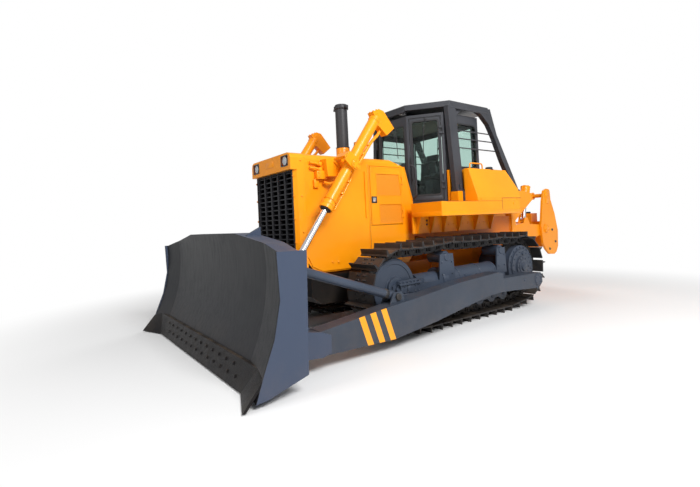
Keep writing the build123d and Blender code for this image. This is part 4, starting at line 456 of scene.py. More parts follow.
def vent_sheet(name, hole, web, pitch=0.016):
    """Perforated sheet: rows of round holes, drawn by the surface itself; the holes are painted a darker
    yellow as the shade of the hollow behind them.
    """
    material, tree, shader = blank_material(name, rough=0.42)
    axis = split(tree, object_place(tree))
    steps = (calc(tree, "FRACT", calc(tree, "DIVIDE", axis[label], pitch)) for label in "XZ")
    across, up = (calc(tree, "SUBTRACT", step, 0.5) for step in steps)
    reach = calc(tree, "ADD", calc(tree, "MULTIPLY", across, across), calc(tree, "MULTIPLY", up, up))
    open_hole = ramp(tree, calc(tree, "SQRT", reach), 0.26, 0.36, 1.0, 0.0)
    dust = group(tree, SITE_DUST, Settled=0.1, Splash=0.2, Reach=1.2, Grain=3.0)
    colour = blend_colour(tree, open_hole, web, hole)
    tree.links.new(blend_colour(tree, dust["Mask"], colour, DUST_TINT), shader.inputs["Base Color"])
    relief(tree, shader, calc(tree, "SUBTRACT", 1.0, open_hole), 0.002)
    return material


def lamp_lens():
    """Ribbed lens, only partly clear: its near-white milky base is a painted brightness that stands for the
    lamp's reflection.
    """
    lit_lens_white = (0.93, 0.95, 0.97, 1)
    material, tree, shader = blank_material("clear_lens", colour=lit_lens_white, rough=0.05, clear=0.45)
    relief(tree, shader, wave(tree, 22.0, 0.2, "Y"), 0.002)
    return material


def lamp_bowl():
    """Silvered bowl with facets, only partly metal: its near-white base and faceted tint are painted
    brightness that stands for the reflector's reflections.
    """
    material, tree, shader = blank_material("silvered_bowl", metal=0.35, rough=0.22)
    facets = put(tree, "ShaderNodeTexVoronoi", {"Vector": object_place(tree), "Scale": 45.0})
    tint = blend_colour(tree, facets.outputs["Distance"], (0.92, 0.93, 0.95, 1), (0.70, 0.72, 0.75, 1))
    tree.links.new(tint, shader.inputs["Base Color"])
    return material


FINISHES = {
    "paint_yellow": enamel("yellow_enamel", YELLOW, coat=0.12, settled=0.05),
    "frame_paint": enamel("orange_enamel", ORANGE, splash=0.08, mask=belly_shade_mask, marks_and_shade=BELLY_SHADE),
    "paint_grey": enamel("slate_enamel", SLATE, gloss=0.4, settled=0.05, splash=0.08),
    "blade_paint": blade_enamel(),
    "edge_steel": bare_steel("edge_steel", EDGE_STEEL, 0.03),
    "track_steel": bare_steel("track_steel", TRACK_STEEL, 0.06),
    "engine_paint": enamel("engine_enamel", ENGINE_GREY, gloss=0.5, coat=0.0, sheen=0.5),
    "grille_black": enamel("grille_black", GRILLE_BLACK, gloss=0.5, coat=0.0, sheen=0.2),
    "stack_steel": enamel("stack_black", STACK_BLACK, gloss=0.45, coat=0.0),
    "cab_charcoal": enamel("charcoal_enamel", CHARCOAL, gloss=0.38),
    "glass": cab_glass(),
    "seat_fabric": seat_cloth(),
    "console_plastic": grained_plastic("console_plastic", (0.05, 0.052, 0.058, 1)),
    "chrome_rod": chrome(),
}
GUARD_PAINT = enamel("guard_enamel", YELLOW, coat=0.12, settled=0.05, mask=bay_shade_mask, marks_and_shade=BAY_SHADE)
ARM_PAINT = enamel(
    "arm_enamel", ARM_SLATE, gloss=0.4, settled=0.04, splash=0.08, mask=stripe_mask, marks_and_shade=STRIPE_YELLOW,
)
# The holes' darker yellow is painted shade.
VENT_YELLOW = vent_sheet("vent_yellow", (0.50, 0.13, 0.004, 1), (0.88, 0.30, 0.007, 1))
RUBBER = grained_plastic("black_rubber", (0.016, 0.016, 0.018, 1), 0.7)
PALE_LINING = grained_plastic("pale_lining", (0.22, 0.22, 0.21, 1), 0.8)
DIAL_BOARD = grained_plastic("pale_dial_board", (0.35, 0.36, 0.38, 1), 0.4)
LENS = lamp_lens()
BOWL = lamp_bowl()
NODE_PAINTS = {
    "hood": GUARD_PAINT, "radiator_guard": GUARD_PAINT,
    "push_arm_left": ARM_PAINT, "push_arm_right": ARM_PAINT,
}


def dress_nodes():
    """Every construction node takes the finish that its slot names, or its own."""
    for part in frame["record"]["subparts"]:
        node = frame["nodes"][part["node"]]
        node.data.materials.clear()
        node.data.materials.append(NODE_PAINTS.get(part["node"], FINISHES[part["material_slot"]]))


dress_nodes()


# ---------------------------------------------------------------- shaping helpers
AXES = {
    "X": Matrix(((0, 0, 1), (1, 0, 0), (0, 1, 0))).to_4x4(),
    "Y": Matrix(((1, 0, 0), (0, 0, 1), (0, 1, 0))).to_4x4(),
    "Z": Matrix.Identity(4),
}
SIDES = (("left", 1), ("right", -1))
SHARP = math.radians(28)
CREASE = math.radians(35)


def mirrored(sign, low, high):
    """Range on one side of the machine, in rising order."""
    return sorted((sign * low, sign * high))


def grown(u, v, by):
    """Ranges widened on both sides."""
    return (u[0] - by, u[1] + by), (v[0] - by, v[1] + by)


def around(centre, radius, side, across, count):
    """Points evenly round a centre."""
    angles = [2 * math.pi * i / count for i in range(count)]
    return [centre + radius * (math.cos(a) * side + math.sin(a) * across) for a in angles]


def outline_ring(bm, outline, depth, axis):
    """Corners of an outline at a depth along an axis, or along the third axis of a frame."""
    axes = AXES[axis] if isinstance(axis, str) else axis
    return [bm.verts.new(axes @ Vector((u, v, depth))) for u, v in outline]


def bridge(bm, near, far):
    """Faces between two rings with the same number of corners."""
    for i in range(len(near)):
        bm.faces.new((near[i - 1], near[i], far[i], far[i - 1]))


def skin(bm, rings):
    """Closed skin over a row of rings."""
    for near, far in zip(rings, rings[1:]):
        bridge(bm, near, far)
    bm.faces.new(rings[0])
    bm.faces.new(rings[-1])


def prism(bm, outline, start, end, axis="Y"):
    """Closed outline drawn out along an axis, or along the third axis of a frame."""
    skin(bm, [outline_ring(bm, outline, depth, axis) for depth in (start, end)])


def block(bm, x, y, z):
    """Box between (low, high) pairs."""
    prism(bm, oblong(x, z), y[0], y[1])


def hoop(bm, outer, inner, start, end, axis="Y"):
    """Closed frame between two outlines with the same number of corners."""
    corners = ((outer, start), (outer, end), (inner, end), (inner, start))
    rings = [outline_ring(bm, outline, depth, axis) for outline, depth in corners]
    for near, far in zip(rings, rings[1:] + rings[:1]):
        bridge(bm, near, far)


def oblong(u, v, corner=0.0, steps=3):
    """Rectangle outline between (low, high) pairs, with rounded corners if asked."""
    if not corner:
        return [(u[0], v[0]), (u[1], v[0]), (u[1], v[1]), (u[0], v[1])]
    points = []
    for x, z, quarter in ((u[1], v[1], 0), (u[0], v[1], 1), (u[0], v[0], 2), (u[1], v[0], 3)):
        cx = x - corner if quarter in (0, 3) else x + corner
        cz = z - corner if quarter in (0, 1) else z + corner
        for i in range(steps + 1):
            a = math.radians(90 * quarter + 90 * i / steps)
            points.append((cx + corner * math.cos(a), cz + corner * math.sin(a)))
    return points


def turned(bm, foot, along, profile, sides=24):
    """Solid of revolution: (distance, radius) steps along a direction."""
    direction = Vector(along).normalized()
    side = direction.orthogonal().normalized()
    across = direction.cross(side)
    rings = []
    for distance, radius in profile:
        places = around(Vector(foot) + direction * distance, radius, side, across, sides)
        rings.append([bm.verts.new(place) for place in places])
    skin(bm, rings)


def band(width, radius, ease=0.004):
    """Profile of a ring with eased edges."""
    return ((0, radius - ease), (ease, radius), (width - ease, radius), (width, radius - ease))


def rounded(points, bend, steps=5):
    """Path with its corners turned into arcs."""
    path = [points[0]]
    for before, corner, after in zip(points, points[1:], points[2:]):
        reach = min(bend, (corner - before).length * 0.45, (after - corner).length * 0.45)
        start = corner + (before - corner).normalized() * reach
        end = corner + (after - corner).normalized() * reach
        for i in range(steps + 1):
            t = i / steps
            path.append((1 - t) ** 2 * start + 2 * t * (1 - t) * corner + t * t * end)
    path.append(points[-1])
    return path


def pipe(bm, points, radius, sides=10, bend=0.06):
    """Round bar or tube along a path with bent corners."""
    path = [Vector(p) for p in points]
    if bend:
        path = rounded(path, bend)
    heading = (path[1] - path[0]).normalized()
    side = heading.orthogonal().normalized()
    rings = []
    for i, place in enumerate(path):
        ahead = (path[min(i + 1, len(path) - 1)] - path[max(i - 1, 0)]).normalized()
        side = heading.rotation_difference(ahead) @ side
        heading = ahead
        places = around(place, radius, side, heading.cross(side), sides)
        rings.append([bm.verts.new(place) for place in places])
    skin(bm, rings)


def soften_edges(bm, width):
    """Rounds the sharp edges."""
    bmesh.ops.recalc_face_normals(bm, faces=bm.faces)
    sharp = [edge for edge in bm.edges if edge.is_manifold and edge.calc_face_angle() > SHARP]
    bmesh.ops.bevel(bm, geom=sharp, offset=width, segments=2, profile=0.5, affect="EDGES", clamp_overlap=True)


def to_object(name, bm, finish):
    """Mesh object in place, smooth but for its creases."""
    bmesh.ops.recalc_face_normals(bm, faces=bm.faces)
    mesh = bpy.data.meshes.new(name)
    bm.to_mesh(mesh)
    bm.free()
    mesh.shade_smooth()
    mesh.set_sharp_from_angle(angle=CREASE)
    mesh.materials.append(finish)
    return link(bpy.data.objects.new(name, mesh))


def final_mesh(obj):
    """Plain mesh of an object with its modifiers carried out."""
    graph = bpy.context.evaluated_depsgraph_get()
    return bpy.data.meshes.new_from_object(obj.evaluated_get(graph), depsgraph=graph)


def settle(obj, body):
    """The object moves with a body."""
    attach(obj, body)
    return obj


def piece(name, bm, body, slot, finish=None, soft=0.0):
    """Finished piece that moves with a body and takes a slot's finish, or its own."""
    if soft:
        soften_edges(bm, soft)
    return settle(to_object(name, bm, finish or FINISHES[slot]), body)


def repeat_group():
    """Geometry nodes that set a pattern on points, with each point's turn and size."""
    tree = bpy.data.node_groups.new("repeat_on_points", "GeometryNodeTree")
    kinds = (("Points", "Geometry"), ("Pattern", "Object"), ("Finish", "Material"))
    sockets = [
        tree.interface.new_socket(label, in_out="INPUT", socket_type="NodeSocket" + kind)
        for label, kind in kinds
    ]
    tree.interface.new_socket("Result", in_out="OUTPUT", socket_type="NodeSocketGeometry")
    given = tree.nodes.new("NodeGroupInput").outputs
    shape = put(tree, "GeometryNodeObjectInfo", {"Object": given["Pattern"]}).outputs["Geometry"]
    turn, size = (
        put(tree, "GeometryNodeInputNamedAttribute", {"Name": label}, data_type=kind).outputs["Attribute"]
        for label, kind in (("turn", "FLOAT_VECTOR"), ("size", "FLOAT"))
    )
    rotation = put(tree, "FunctionNodeEulerToRotation", {"Euler": turn}).outputs["Rotation"]
    feeds = {"Points": given["Points"], "Instance": shape, "Rotation": rotation, "Scale": size}
    spots = put(tree, "GeometryNodeInstanceOnPoints", feeds).outputs["Instances"]
    real = put(tree, "GeometryNodeRealizeInstances", {"Geometry": spots}).outputs["Geometry"]
    painted = put(tree, "GeometryNodeSetMaterial", {"Geometry": real, "Material": given["Finish"]})
    tree.links.new(painted.outputs["Geometry"], tree.nodes.new("NodeGroupOutput").inputs["Result"])
    return tree, {socket.name: socket.identifier for socket in sockets}


REPEAT, REPEAT_SOCKETS = repeat_group()


def repeated(name, pattern, places, body, slot):
    """Pattern repeated at (place, turn, size) rows, as one finished piece."""
    mesh = bpy.data.meshes.new(name)
    mesh.from_pydata([tuple(place) for place, _, _ in places], [], [])
    mesh.attributes.new("turn", "FLOAT_VECTOR", "POINT")
    mesh.attributes.new("size", "FLOAT", "POINT")
    for i, (_, turn, size) in enumerate(places):
        mesh.attributes["turn"].data[i].vector = turn
        mesh.attributes["size"].data[i].value = size
    points = link(bpy.data.objects.new(name + "_points", mesh))
    modifier = points.modifiers.new("repeat", "NODES")
    modifier.node_group = REPEAT
    modifier[REPEAT_SOCKETS["Pattern"]] = pattern
    modifier[REPEAT_SOCKETS["Finish"]] = FINISHES[slot]
    result = final_mesh(points)
    bpy.data.objects.remove(points)
    result.name = name
    return settle(link(bpy.data.objects.new(name, result)), body)


def drop_pattern(pattern):
    """Takes a pattern away: it isn't part of the machine itself."""
    bpy.data.objects.remove(pattern)


def both_sides(*makers):
    """Calls the makers for the left side, then for the right."""
    for side, sign in SIDES:
        for make in makers:
            make(side, sign)


# ---------------------------------------------------------------- bolts
BOLT_ROWS = {}


def bolt_pattern():
    """Hexagon head of radius 1 on its washer, facing +Z."""
    bm = bmesh.new()
    turned(bm, (0, 0, -0.1), (0, 0, 1), ((0, 1.4), (0.3, 1.4)), 12)
    turned(bm, (0, 0, 0.2), (0, 0, 1), ((0, 1.0), (0.62, 1.0), (0.74, 0.84)), 6)
    return to_object("bolt_pattern", bm, FINISHES["track_steel"])


def bolt(body, slot, place, facing, size):
    """Notes one bolt for a body: its seat, the way it faces and its head's radius."""
    turn = Vector(facing).to_track_quat("Z", "Y").to_euler()
    BOLT_ROWS.setdefault((body, slot), []).append((place, turn, size))


def bolt_grid(body, slot, xs, ys, zs, facing, size):
    """Bolts at every crossing of the given places."""
    for place in itertools.product(xs, ys, zs):
        bolt(body, slot, place, facing, size)


def bolt_circle(body, slot, centre, facing, radius, count, size, start=0.0):
    """Bolts evenly round a centre."""
    direction = Vector(facing).normalized()
    side = Vector((0, 0, 1)) if abs(direction.z) < 0.9 else Vector((1, 0, 0))
    across = direction.cross(side)
    for i in range(count):
        a = start + 2 * math.pi * i / count
        place = Vector(centre) + radius * (math.cos(a) * side + math.sin(a) * across)
        bolt(body, slot, place, facing, size)


def fit_bolts():
    """Makes the noted bolts, one piece for each body and slot."""
    pattern = bolt_pattern()
    for (body, slot), places in BOLT_ROWS.items():
        repeated(f"bolts_{body}_{slot}", pattern, places, body, slot)
    drop_pattern(pattern)


# ---------------------------------------------------------------- crawler chains
TRACK_Y = 1.070
LINKS = 41
SHOE_HALF = 0.280
HUB = (-1.552, 0.715)
IDLER = (1.598, 0.700)
CARRIERS = (-0.930, 0.520)
CARRIER_Z = 1.070
ROLLER_Z = 0.323
# x, z and belt radius of the wheels, round the loop from the sprocket along the top
BELT = (
    (*HUB, 0.494),
    (CARRIERS[0], CARRIER_Z, 0.150),
    (CARRIERS[1], CARRIER_Z, 0.150),
    (*IDLER, 0.480),
    (1.120, ROLLER_Z, 0.163),
    (-1.060, ROLLER_Z, 0.163),
)
BELT_SAG = 0.022
SAG_OVER = 0.940  # only runs that start above this height hang


def belt_runs():
    """Straight and curved runs of the chain's pin line, with their lengths."""
    tangents = []
    for (x1, z1, r1), (x2, z2, r2) in zip(BELT, BELT[1:] + BELT[:1]):
        lean = math.asin((r1 - r2) / math.hypot(x2 - x1, z2 - z1))
        normal = math.atan2(z2 - z1, x2 - x1) + math.pi / 2 - lean
        start = (x1 + r1 * math.cos(normal), z1 + r1 * math.sin(normal))
        end = (x2 + r2 * math.cos(normal), z2 + r2 * math.sin(normal))
        tangents.append((start, end, normal))
    runs = []
    for i, (start, end, normal) in enumerate(tangents):
        following = (i + 1) % len(BELT)
        runs.append(("line", math.dist(start, end), start, end))
        x, z, r = BELT[following]
        turn = (normal - tangents[following][2]) % (2 * math.pi)
        runs.append(("arc", r * turn, (x, z, r), normal))
    return runs


def chain_pins():
    """Pin places, equal steps apart along the belt."""
    runs = belt_runs()
    total = sum(run[1] for run in runs)
    pins = []
    for k in range(LINKS):
        s = total * k / LINKS
        for kind, length, first, second in runs:
            if s < length:
                break
            s -= length
        if kind == "line":
            t = s / length
            sag = 4 * BELT_SAG * t * (1 - t) if first[1] > SAG_OVER else 0.0
            pins.append((first[0] + t * (second[0] - first[0]), first[1] + t * (second[1] - first[1]) - sag))
        else:
            a = second - s / first[2]
            pins.append((first[0] + first[2] * math.cos(a), first[1] + first[2] * math.sin(a)))
    return pins


PINS = chain_pins()
PITCH = math.dist(PINS[0], PINS[1])


def shoe_pattern():
    """Single-grouser shoe with its four bolts, from one pin to the next."""
    bm = bmesh.new()
    # share of the pitch, and height over the pin line
    section = (
        (0.03, 0.062), (0.03, 0.076), (0.05, 0.082), (0.71, 0.083), (0.755, 0.093),
        (0.785, 0.156), (0.80, 0.160), (0.85, 0.160), (0.866, 0.154), (0.886, 0.092),
        (0.93, 0.080), (0.985, 0.073), (0.985, 0.062),
    )
    prism(bm, [(share * PITCH, z) for share, z in section], -SHOE_HALF, SHOE_HALF)
    for share, y in itertools.product((0.2, 0.5), (-0.092, -0.048, 0.048, 0.092)):
        turned(bm, (share * PITCH, y, 0.080), (0, 0, 1), ((0, 0.016), (0.014, 0.016), (0.017, 0.012)), 6)
    return to_object("shoe_pattern", bm, FINISHES["track_steel"])


def link_pattern():
    """Two link plates with windows, pin and bushing."""
    bm = bmesh.new()
    p = PITCH
    for side in (-1, 1):
        plate = mirrored(side, 0.052, 0.088)
        block(bm, (0.16 * p, 0.84 * p), plate, (-0.055, -0.022))
        block(bm, (0.12 * p, 0.88 * p), plate, (0.038, 0.062))
        for start, end in ((0.16, 0.32), (0.46, 0.54), (0.68, 0.84)):
            block(bm, (start * p, end * p), mirrored(side, 0.054, 0.086), (-0.024, 0.040))
        near_end = ((-0.01, -0.038), (0.22 * p, -0.055), (0.22 * p, 0.056), (-0.01, 0.036))
        far_end = ((0.78 * p, -0.055), (p + 0.01, -0.038), (p + 0.01, 0.036), (0.78 * p, 0.056))
        prism(bm, near_end, *mirrored(side, 0.070, 0.092))
        prism(bm, far_end, *mirrored(side, 0.048, 0.069))
        turned(bm, (0, side * 0.070, 0), (0, side, 0), ((0, 0.040), (0.020, 0.040), (0.023, 0.036)), 14)
        turned(bm, (p, side * 0.048, 0), (0, side, 0), ((0, 0.040), (0.021, 0.040)), 14)
    turned(bm, (0, -0.099, 0), (0, 1, 0), ((0, 0.018), (0.004, 0.023), (0.194, 0.023), (0.198, 0.018)), 12)
    turned(bm, (0, -0.050, 0), (0, 1, 0), ((0, 0.034), (0.100, 0.034)), 12)
    return to_object("link_pattern", bm, FINISHES["track_steel"])


def make_chains():
    """Both crawler chains: shoes and links set along the pin line."""
    shoe = shoe_pattern()
    link_plates = link_pattern()
    for side, sign in SIDES:
        places = []
        for (x1, z1), (x2, z2) in zip(PINS, PINS[1:] + PINS[:1]):
            places.append(((x1, sign * TRACK_Y, z1), (0.0, -math.atan2(z2 - z1, x2 - x1), 0.0), 1.0))
        shoes = repeated(f"track_shoes_{side}", shoe, places, "tractor", "track_steel")
        repeated(f"track_chain_{side}", link_plates, places, "tractor", "track_steel")
        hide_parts(f"track_{side}")
    drop_pattern(shoe)
    drop_pattern(link_plates)


make_chains()

# ---------------------------------------------------------------- track frames, hubs and arms
UP, DOWN, AHEAD, BACK = (0, 0, 1), (0, 0, -1), (1, 0, 0), (-1, 0, 0)
ROLLERS_X = [-0.950 + i * 1.960 / 6 for i in range(7)]
FRAME_FACE_Y = 1.245
PAD_FACE_Y = TRACK_Y + 0.178
RECOIL_Z = 0.700
TRUNNION = (-1.400, 0.525)
ARM_FACE_Y = 1.632
BRACE_FOOT = (1.930, 1.500, 0.668)
BRACE_HEAD = (3.460, 1.400, 1.190)


def frame_fittings(side, sign):
    """Idler bearing caps, recoil housing bands, roller ends and the bolts of one track frame."""
    out = (0, sign, 0)
    bm = bmesh.new()
    for height in ((0.742, 0.770), (0.588, 0.614)):
        block(bm, (1.195, 1.632), mirrored(sign, 1.262, 1.330), height)
    block(bm, (1.235, 1.590), mirrored(sign, 1.285, 1.304), (0.610, 0.745))
    turned(bm, (1.420, sign * 1.300, 0.680), out, ((0, 0.052), (0.016, 0.052), (0.022, 0.046)), 20)
    recoil_band = ((0, 0.172), (0.006, 0.175), (0.030, 0.175), (0.036, 0.172))
    for x in (-0.78, -0.36, 0.18):
        turned(bm, (x, sign * TRACK_Y, RECOIL_Z), AHEAD, recoil_band, 40)
    front_flange = ((-0.012, 0.197), (0.018, 0.200), (0.030, 0.192))
    turned(bm, (0.592, sign * TRACK_Y, RECOIL_Z), AHEAD, front_flange, 40)
    block(bm, (-0.22, 0.10), mirrored(sign, TRACK_Y + 0.120, PAD_FACE_Y), (0.655, 0.745))
    piece(f"frame_fittings_{side}", bm, "tractor", "paint_grey", soft=0.004)
    bm = bmesh.new()
    roller_end = ((0, 0.055), (0.012, 0.055), (0.018, 0.048), (0.018, 0.03), (0.026, 0.028))
    for x in ROLLERS_X:
        turned(bm, (x, sign * 1.244, ROLLER_Z), out, roller_end, 18)
    piece(f"roller_ends_{side}", bm, "tractor", "paint_grey")
    for end, x in (("rear", CARRIERS[0]), ("front", CARRIERS[1])):
        bm = bmesh.new()
        turned(bm, (x, sign * 1.219, 1.058), out, ((0, 0.062), (0.030, 0.062), (0.036, 0.054)), 20)
        piece(f"carrier_cap_{side}_{end}", bm, "tractor", "paint_grey")
    cap_bolts = [1.232 + i * 0.0725 for i in range(6)]
    roller_bolts = [x + step for x in ROLLERS_X for step in (-0.075, 0.075)]
    for xs, y, zs, facing, size in (
        (cap_bolts, 1.308, (0.770,), UP, 0.017),
        (cap_bolts, 1.308, (0.588,), DOWN, 0.017),
        (cap_bolts, 1.304, (0.722, 0.636), out, 0.012),
        (roller_bolts, FRAME_FACE_Y, (0.372,), out, 0.013),
        ((-0.20, 0.08), PAD_FACE_Y, (0.672, 0.728), out, 0.009),
        ((CARRIERS[0] - 0.09, CARRIERS[0] + 0.09), FRAME_FACE_Y, (0.800, 0.980), out, 0.014),
        ((CARRIERS[1] - 0.115, CARRIERS[1] + 0.115), FRAME_FACE_Y, (0.800, 0.980), out, 0.014),
    ):
        bolt_grid("tractor", "paint_grey", xs, (sign * y,), zs, facing, size)


def hub_fittings(side, sign):
    """Cover rings, plugs and bolt circles on a final drive's housing."""
    out = (0, sign, 0)
    x, z = HUB
    bm = bmesh.new()
    turned(bm, (x, sign * 1.2345, z), out, ((-0.02, 0.392), (-0.004, 0.392), (0.002, 0.384)), 64)
    cover = ((0, 0.130), (0.012, 0.126), (0.012, 0.080), (0.030, 0.074), (0.034, 0.066))
    turned(bm, (x, sign * 1.284, z), out, cover, 32)
    for aside, rise in ((-0.041, 0.235), (0.100, -0.215)):
        turned(bm, (x + aside, sign * 1.259, z + rise), out, ((0, 0.030), (0.016, 0.030), (0.020, 0.024)), 16)
    piece(f"hub_fittings_{side}", bm, "tractor", "paint_grey")
    bolt_circle("tractor", "paint_grey", (x, sign * 1.2365, z), out, 0.352, 20, 0.016)
    bolt_circle("tractor", "paint_grey", (x, sign * 1.260, z), out, 0.275, 16, 0.013, 0.2)
    bolt_circle("tractor", "paint_grey", (x, sign * 1.285, z), out, 0.160, 12, 0.012)


def arm_fittings(side, sign):
    """Trunnion cap and pin ends of one push arm, with its brace's pins and collars."""
    out = (0, sign, 0)
    bm = bmesh.new()
    cap = ((0, 0.105), (0.078, 0.105), (0.084, 0.098), (0.084, 0.060), (0.078, 0.054))
    turned(bm, (TRUNNION[0], sign * 1.560, TRUNNION[1]), out, cap, 32)
    for x, z in ((-1.355, 0.391), (-0.980, 0.560)):
        turned(bm, (x, sign * (ARM_FACE_Y - 0.002), z), out, ((0, 0.024), (0.008, 0.024), (0.010, 0.020)), 16)
    piece(f"arm_fittings_{side}", bm, "blade_frame", "paint_grey")
    bolt_circle("blade_frame", "paint_grey", (TRUNNION[0], sign * 1.6435, TRUNNION[1]), out, 0.080, 6, 0.010)
    bm = bmesh.new()
    foot, head = (Vector((x, sign * y, z)) for x, y, z in (BRACE_FOOT, BRACE_HEAD))
    pin_end = ((0, 0.046), (0.020, 0.046), (0.026, 0.038))
    for joint, end in itertools.product((foot, head), (-1, 1)):
        turned(bm, joint + Vector((0, end * 0.090, 0)), (0, end, 0), pin_end, 20)
    lay = (head - foot).normalized()
    collar = ((0, 0.062), (0.008, 0.068), (0.046, 0.068), (0.054, 0.062))
    for distance in (0.115, 1.420):
        turned(bm, foot + lay * distance, lay, collar, 8)
    piece(f"brace_fittings_{side}", bm, "blade_frame", "track_steel")


both_sides(frame_fittings, hub_fittings, arm_fittings)

# ---------------------------------------------------------------- hood, nose and stack
HOOD_Y = 0.560
HOOD_SKIN_Y = HOOD_Y - 0.004
HOOD_TOP_Z = 2.667
STACK = (1.504, 0.0)
PRECLEANER = (1.012, -0.180)
HEADLAMP_Y, HEADLAMP_Z = 0.450, 2.562
VENTS = (
    ((0.806, 2.415), (1.290, 2.415), (1.290, 2.080), (0.770, 2.080)),
    ((0.770, 1.925), (1.245, 1.925), (1.245, 1.630), (0.770, 1.630)),
)


def spread(points, by):
    """Outline moved outwards from its middle."""
    cx = sum(p[0] for p in points) / len(points)
    cz = sum(p[1] for p in points) / len(points)
    return [(x + math.copysign(by, x - cx), z + math.copysign(by, z - cz)) for x, z in points]


def door_fittings(side, sign):
    """Perforated panels with their rims, the latch and the corner bolts of one engine door."""
    body = f"engine_door_{side}_body"
    bm = bmesh.new()
    for vent in VENTS:
        prism(bm, spread(vent, -0.001), *mirrored(sign, 0.5545, 0.5575))
    piece(f"vent_mesh_{side}", bm, body, "paint_yellow", VENT_YELLOW)
    bm = bmesh.new()
    for vent in VENTS:
        hoop(bm, spread(vent, 0.012), spread(vent, -0.004), *mirrored(sign, 0.5630, 0.5680))
    edge = ((0.752, 1.420), (1.612, 2.531))
    hoop(bm, oblong(*edge), oblong(*grown(*edge, -0.014)), *mirrored(sign, 0.5630, 0.5665))
    piece(f"vent_rims_{side}", bm, body, "paint_yellow", soft=0.0012)
    bm = bmesh.new()
    prism(bm, oblong((1.306, 1.417), (1.955, 2.059), 0.012), *mirrored(sign, 0.563, 0.574))
    piece(f"door_latch_{side}", bm, body, "cab_charcoal", RUBBER, soft=0.002)
    bm = bmesh.new()
    prism(bm, oblong((1.330, 1.392), (1.975, 2.040), 0.010), *mirrored(sign, 0.573, 0.580))
    piece(f"latch_paddle_{side}", bm, body, "chrome_rod", soft=0.002)
    bolt_grid(body, "paint_yellow", (1.385,), (sign * 0.5640,), (1.685, 2.455), (0, sign, 0), 0.008)


def hood_fittings(side, sign):
    """Side bolts, seams, pipe bracket and the hydraulic pipes that lead to the lift cylinder."""
    out = (0, sign, 0)
    bm = bmesh.new()
    block(bm, (2.642, 2.662), mirrored(sign, HOOD_SKIN_Y, 0.572), (1.100, 2.590))
    block(bm, (1.462, 1.482), mirrored(sign, HOOD_SKIN_Y, 0.566), (1.060, 2.560))
    rear_seam = ((0.492, 1.985), (0.660, 2.560), (0.676, 2.556), (0.508, 1.985))
    prism(bm, rear_seam, *mirrored(sign, HOOD_SKIN_Y, 0.568))
    piece(f"hood_seams_{side}", bm, "tractor", "paint_yellow", soft=0.003)
    bm = bmesh.new()
    for x, z in (((2.662, 2.667), (1.090, 2.595)), ((1.456, 1.461), (1.060, 2.560))):
        block(bm, x, mirrored(sign, HOOD_SKIN_Y, 0.5625), z)
    piece(f"hood_gaps_{side}", bm, "tractor", "grille_black")
    bm = bmesh.new()
    for x, reach, z in (
        ((2.300, 2.470), 0.640, (2.300, 2.420)),
        ((2.240, 2.330), 0.620, (2.500, 2.570)),
        ((2.420, 2.500), 0.600, (2.180, 2.300)),
    ):
        block(bm, x, mirrored(sign, HOOD_SKIN_Y, reach), z)
    piece(f"pipe_bracket_{side}", bm, "tractor", "paint_yellow", soft=0.006)
    bm = bmesh.new()
    for drop, y in ((0.0, 0.600), (0.075, 0.622)):
        pipe(bm, (
            (2.560, sign * 0.590, 2.540 - drop), (2.440, sign * y, 2.530 - drop),
            (2.285, sign * y, 2.440 - drop), (2.240, sign * 0.690, 2.450 - drop),
        ), 0.017)
    lower_run = ((2.345, 0.610, 2.260), (2.250, 0.640, 2.230), (2.130, 0.650, 2.290), (2.110, 0.690, 2.350))
    pipe(bm, [(x, sign * y, z) for x, y, z in lower_run], 0.020)
    piece(f"hydraulic_pipes_{side}", bm, "tractor", "paint_yellow")
    bm = bmesh.new()
    for x, z in ((2.400, 2.520), (2.400, 2.445), (2.290, 2.445)):
        turned(bm, (x, sign * HOOD_SKIN_Y, z), out, ((0, 0.030), (0.080, 0.030)), 8)
    piece(f"pipe_clamps_{side}", bm, "tractor", "paint_yellow", soft=0.003)
    for x, z in ((2.220, 1.099), (2.114, 1.090), (1.600, 1.080), (1.720, 1.084)):
        bolt("tractor", "paint_yellow", (x, sign * (HOOD_Y + 0.012), z), out, 0.016)
    bolt_grid("tractor", "paint_yellow", (2.330, 2.440), (sign * 0.640,), (2.330, 2.392), out, 0.012)


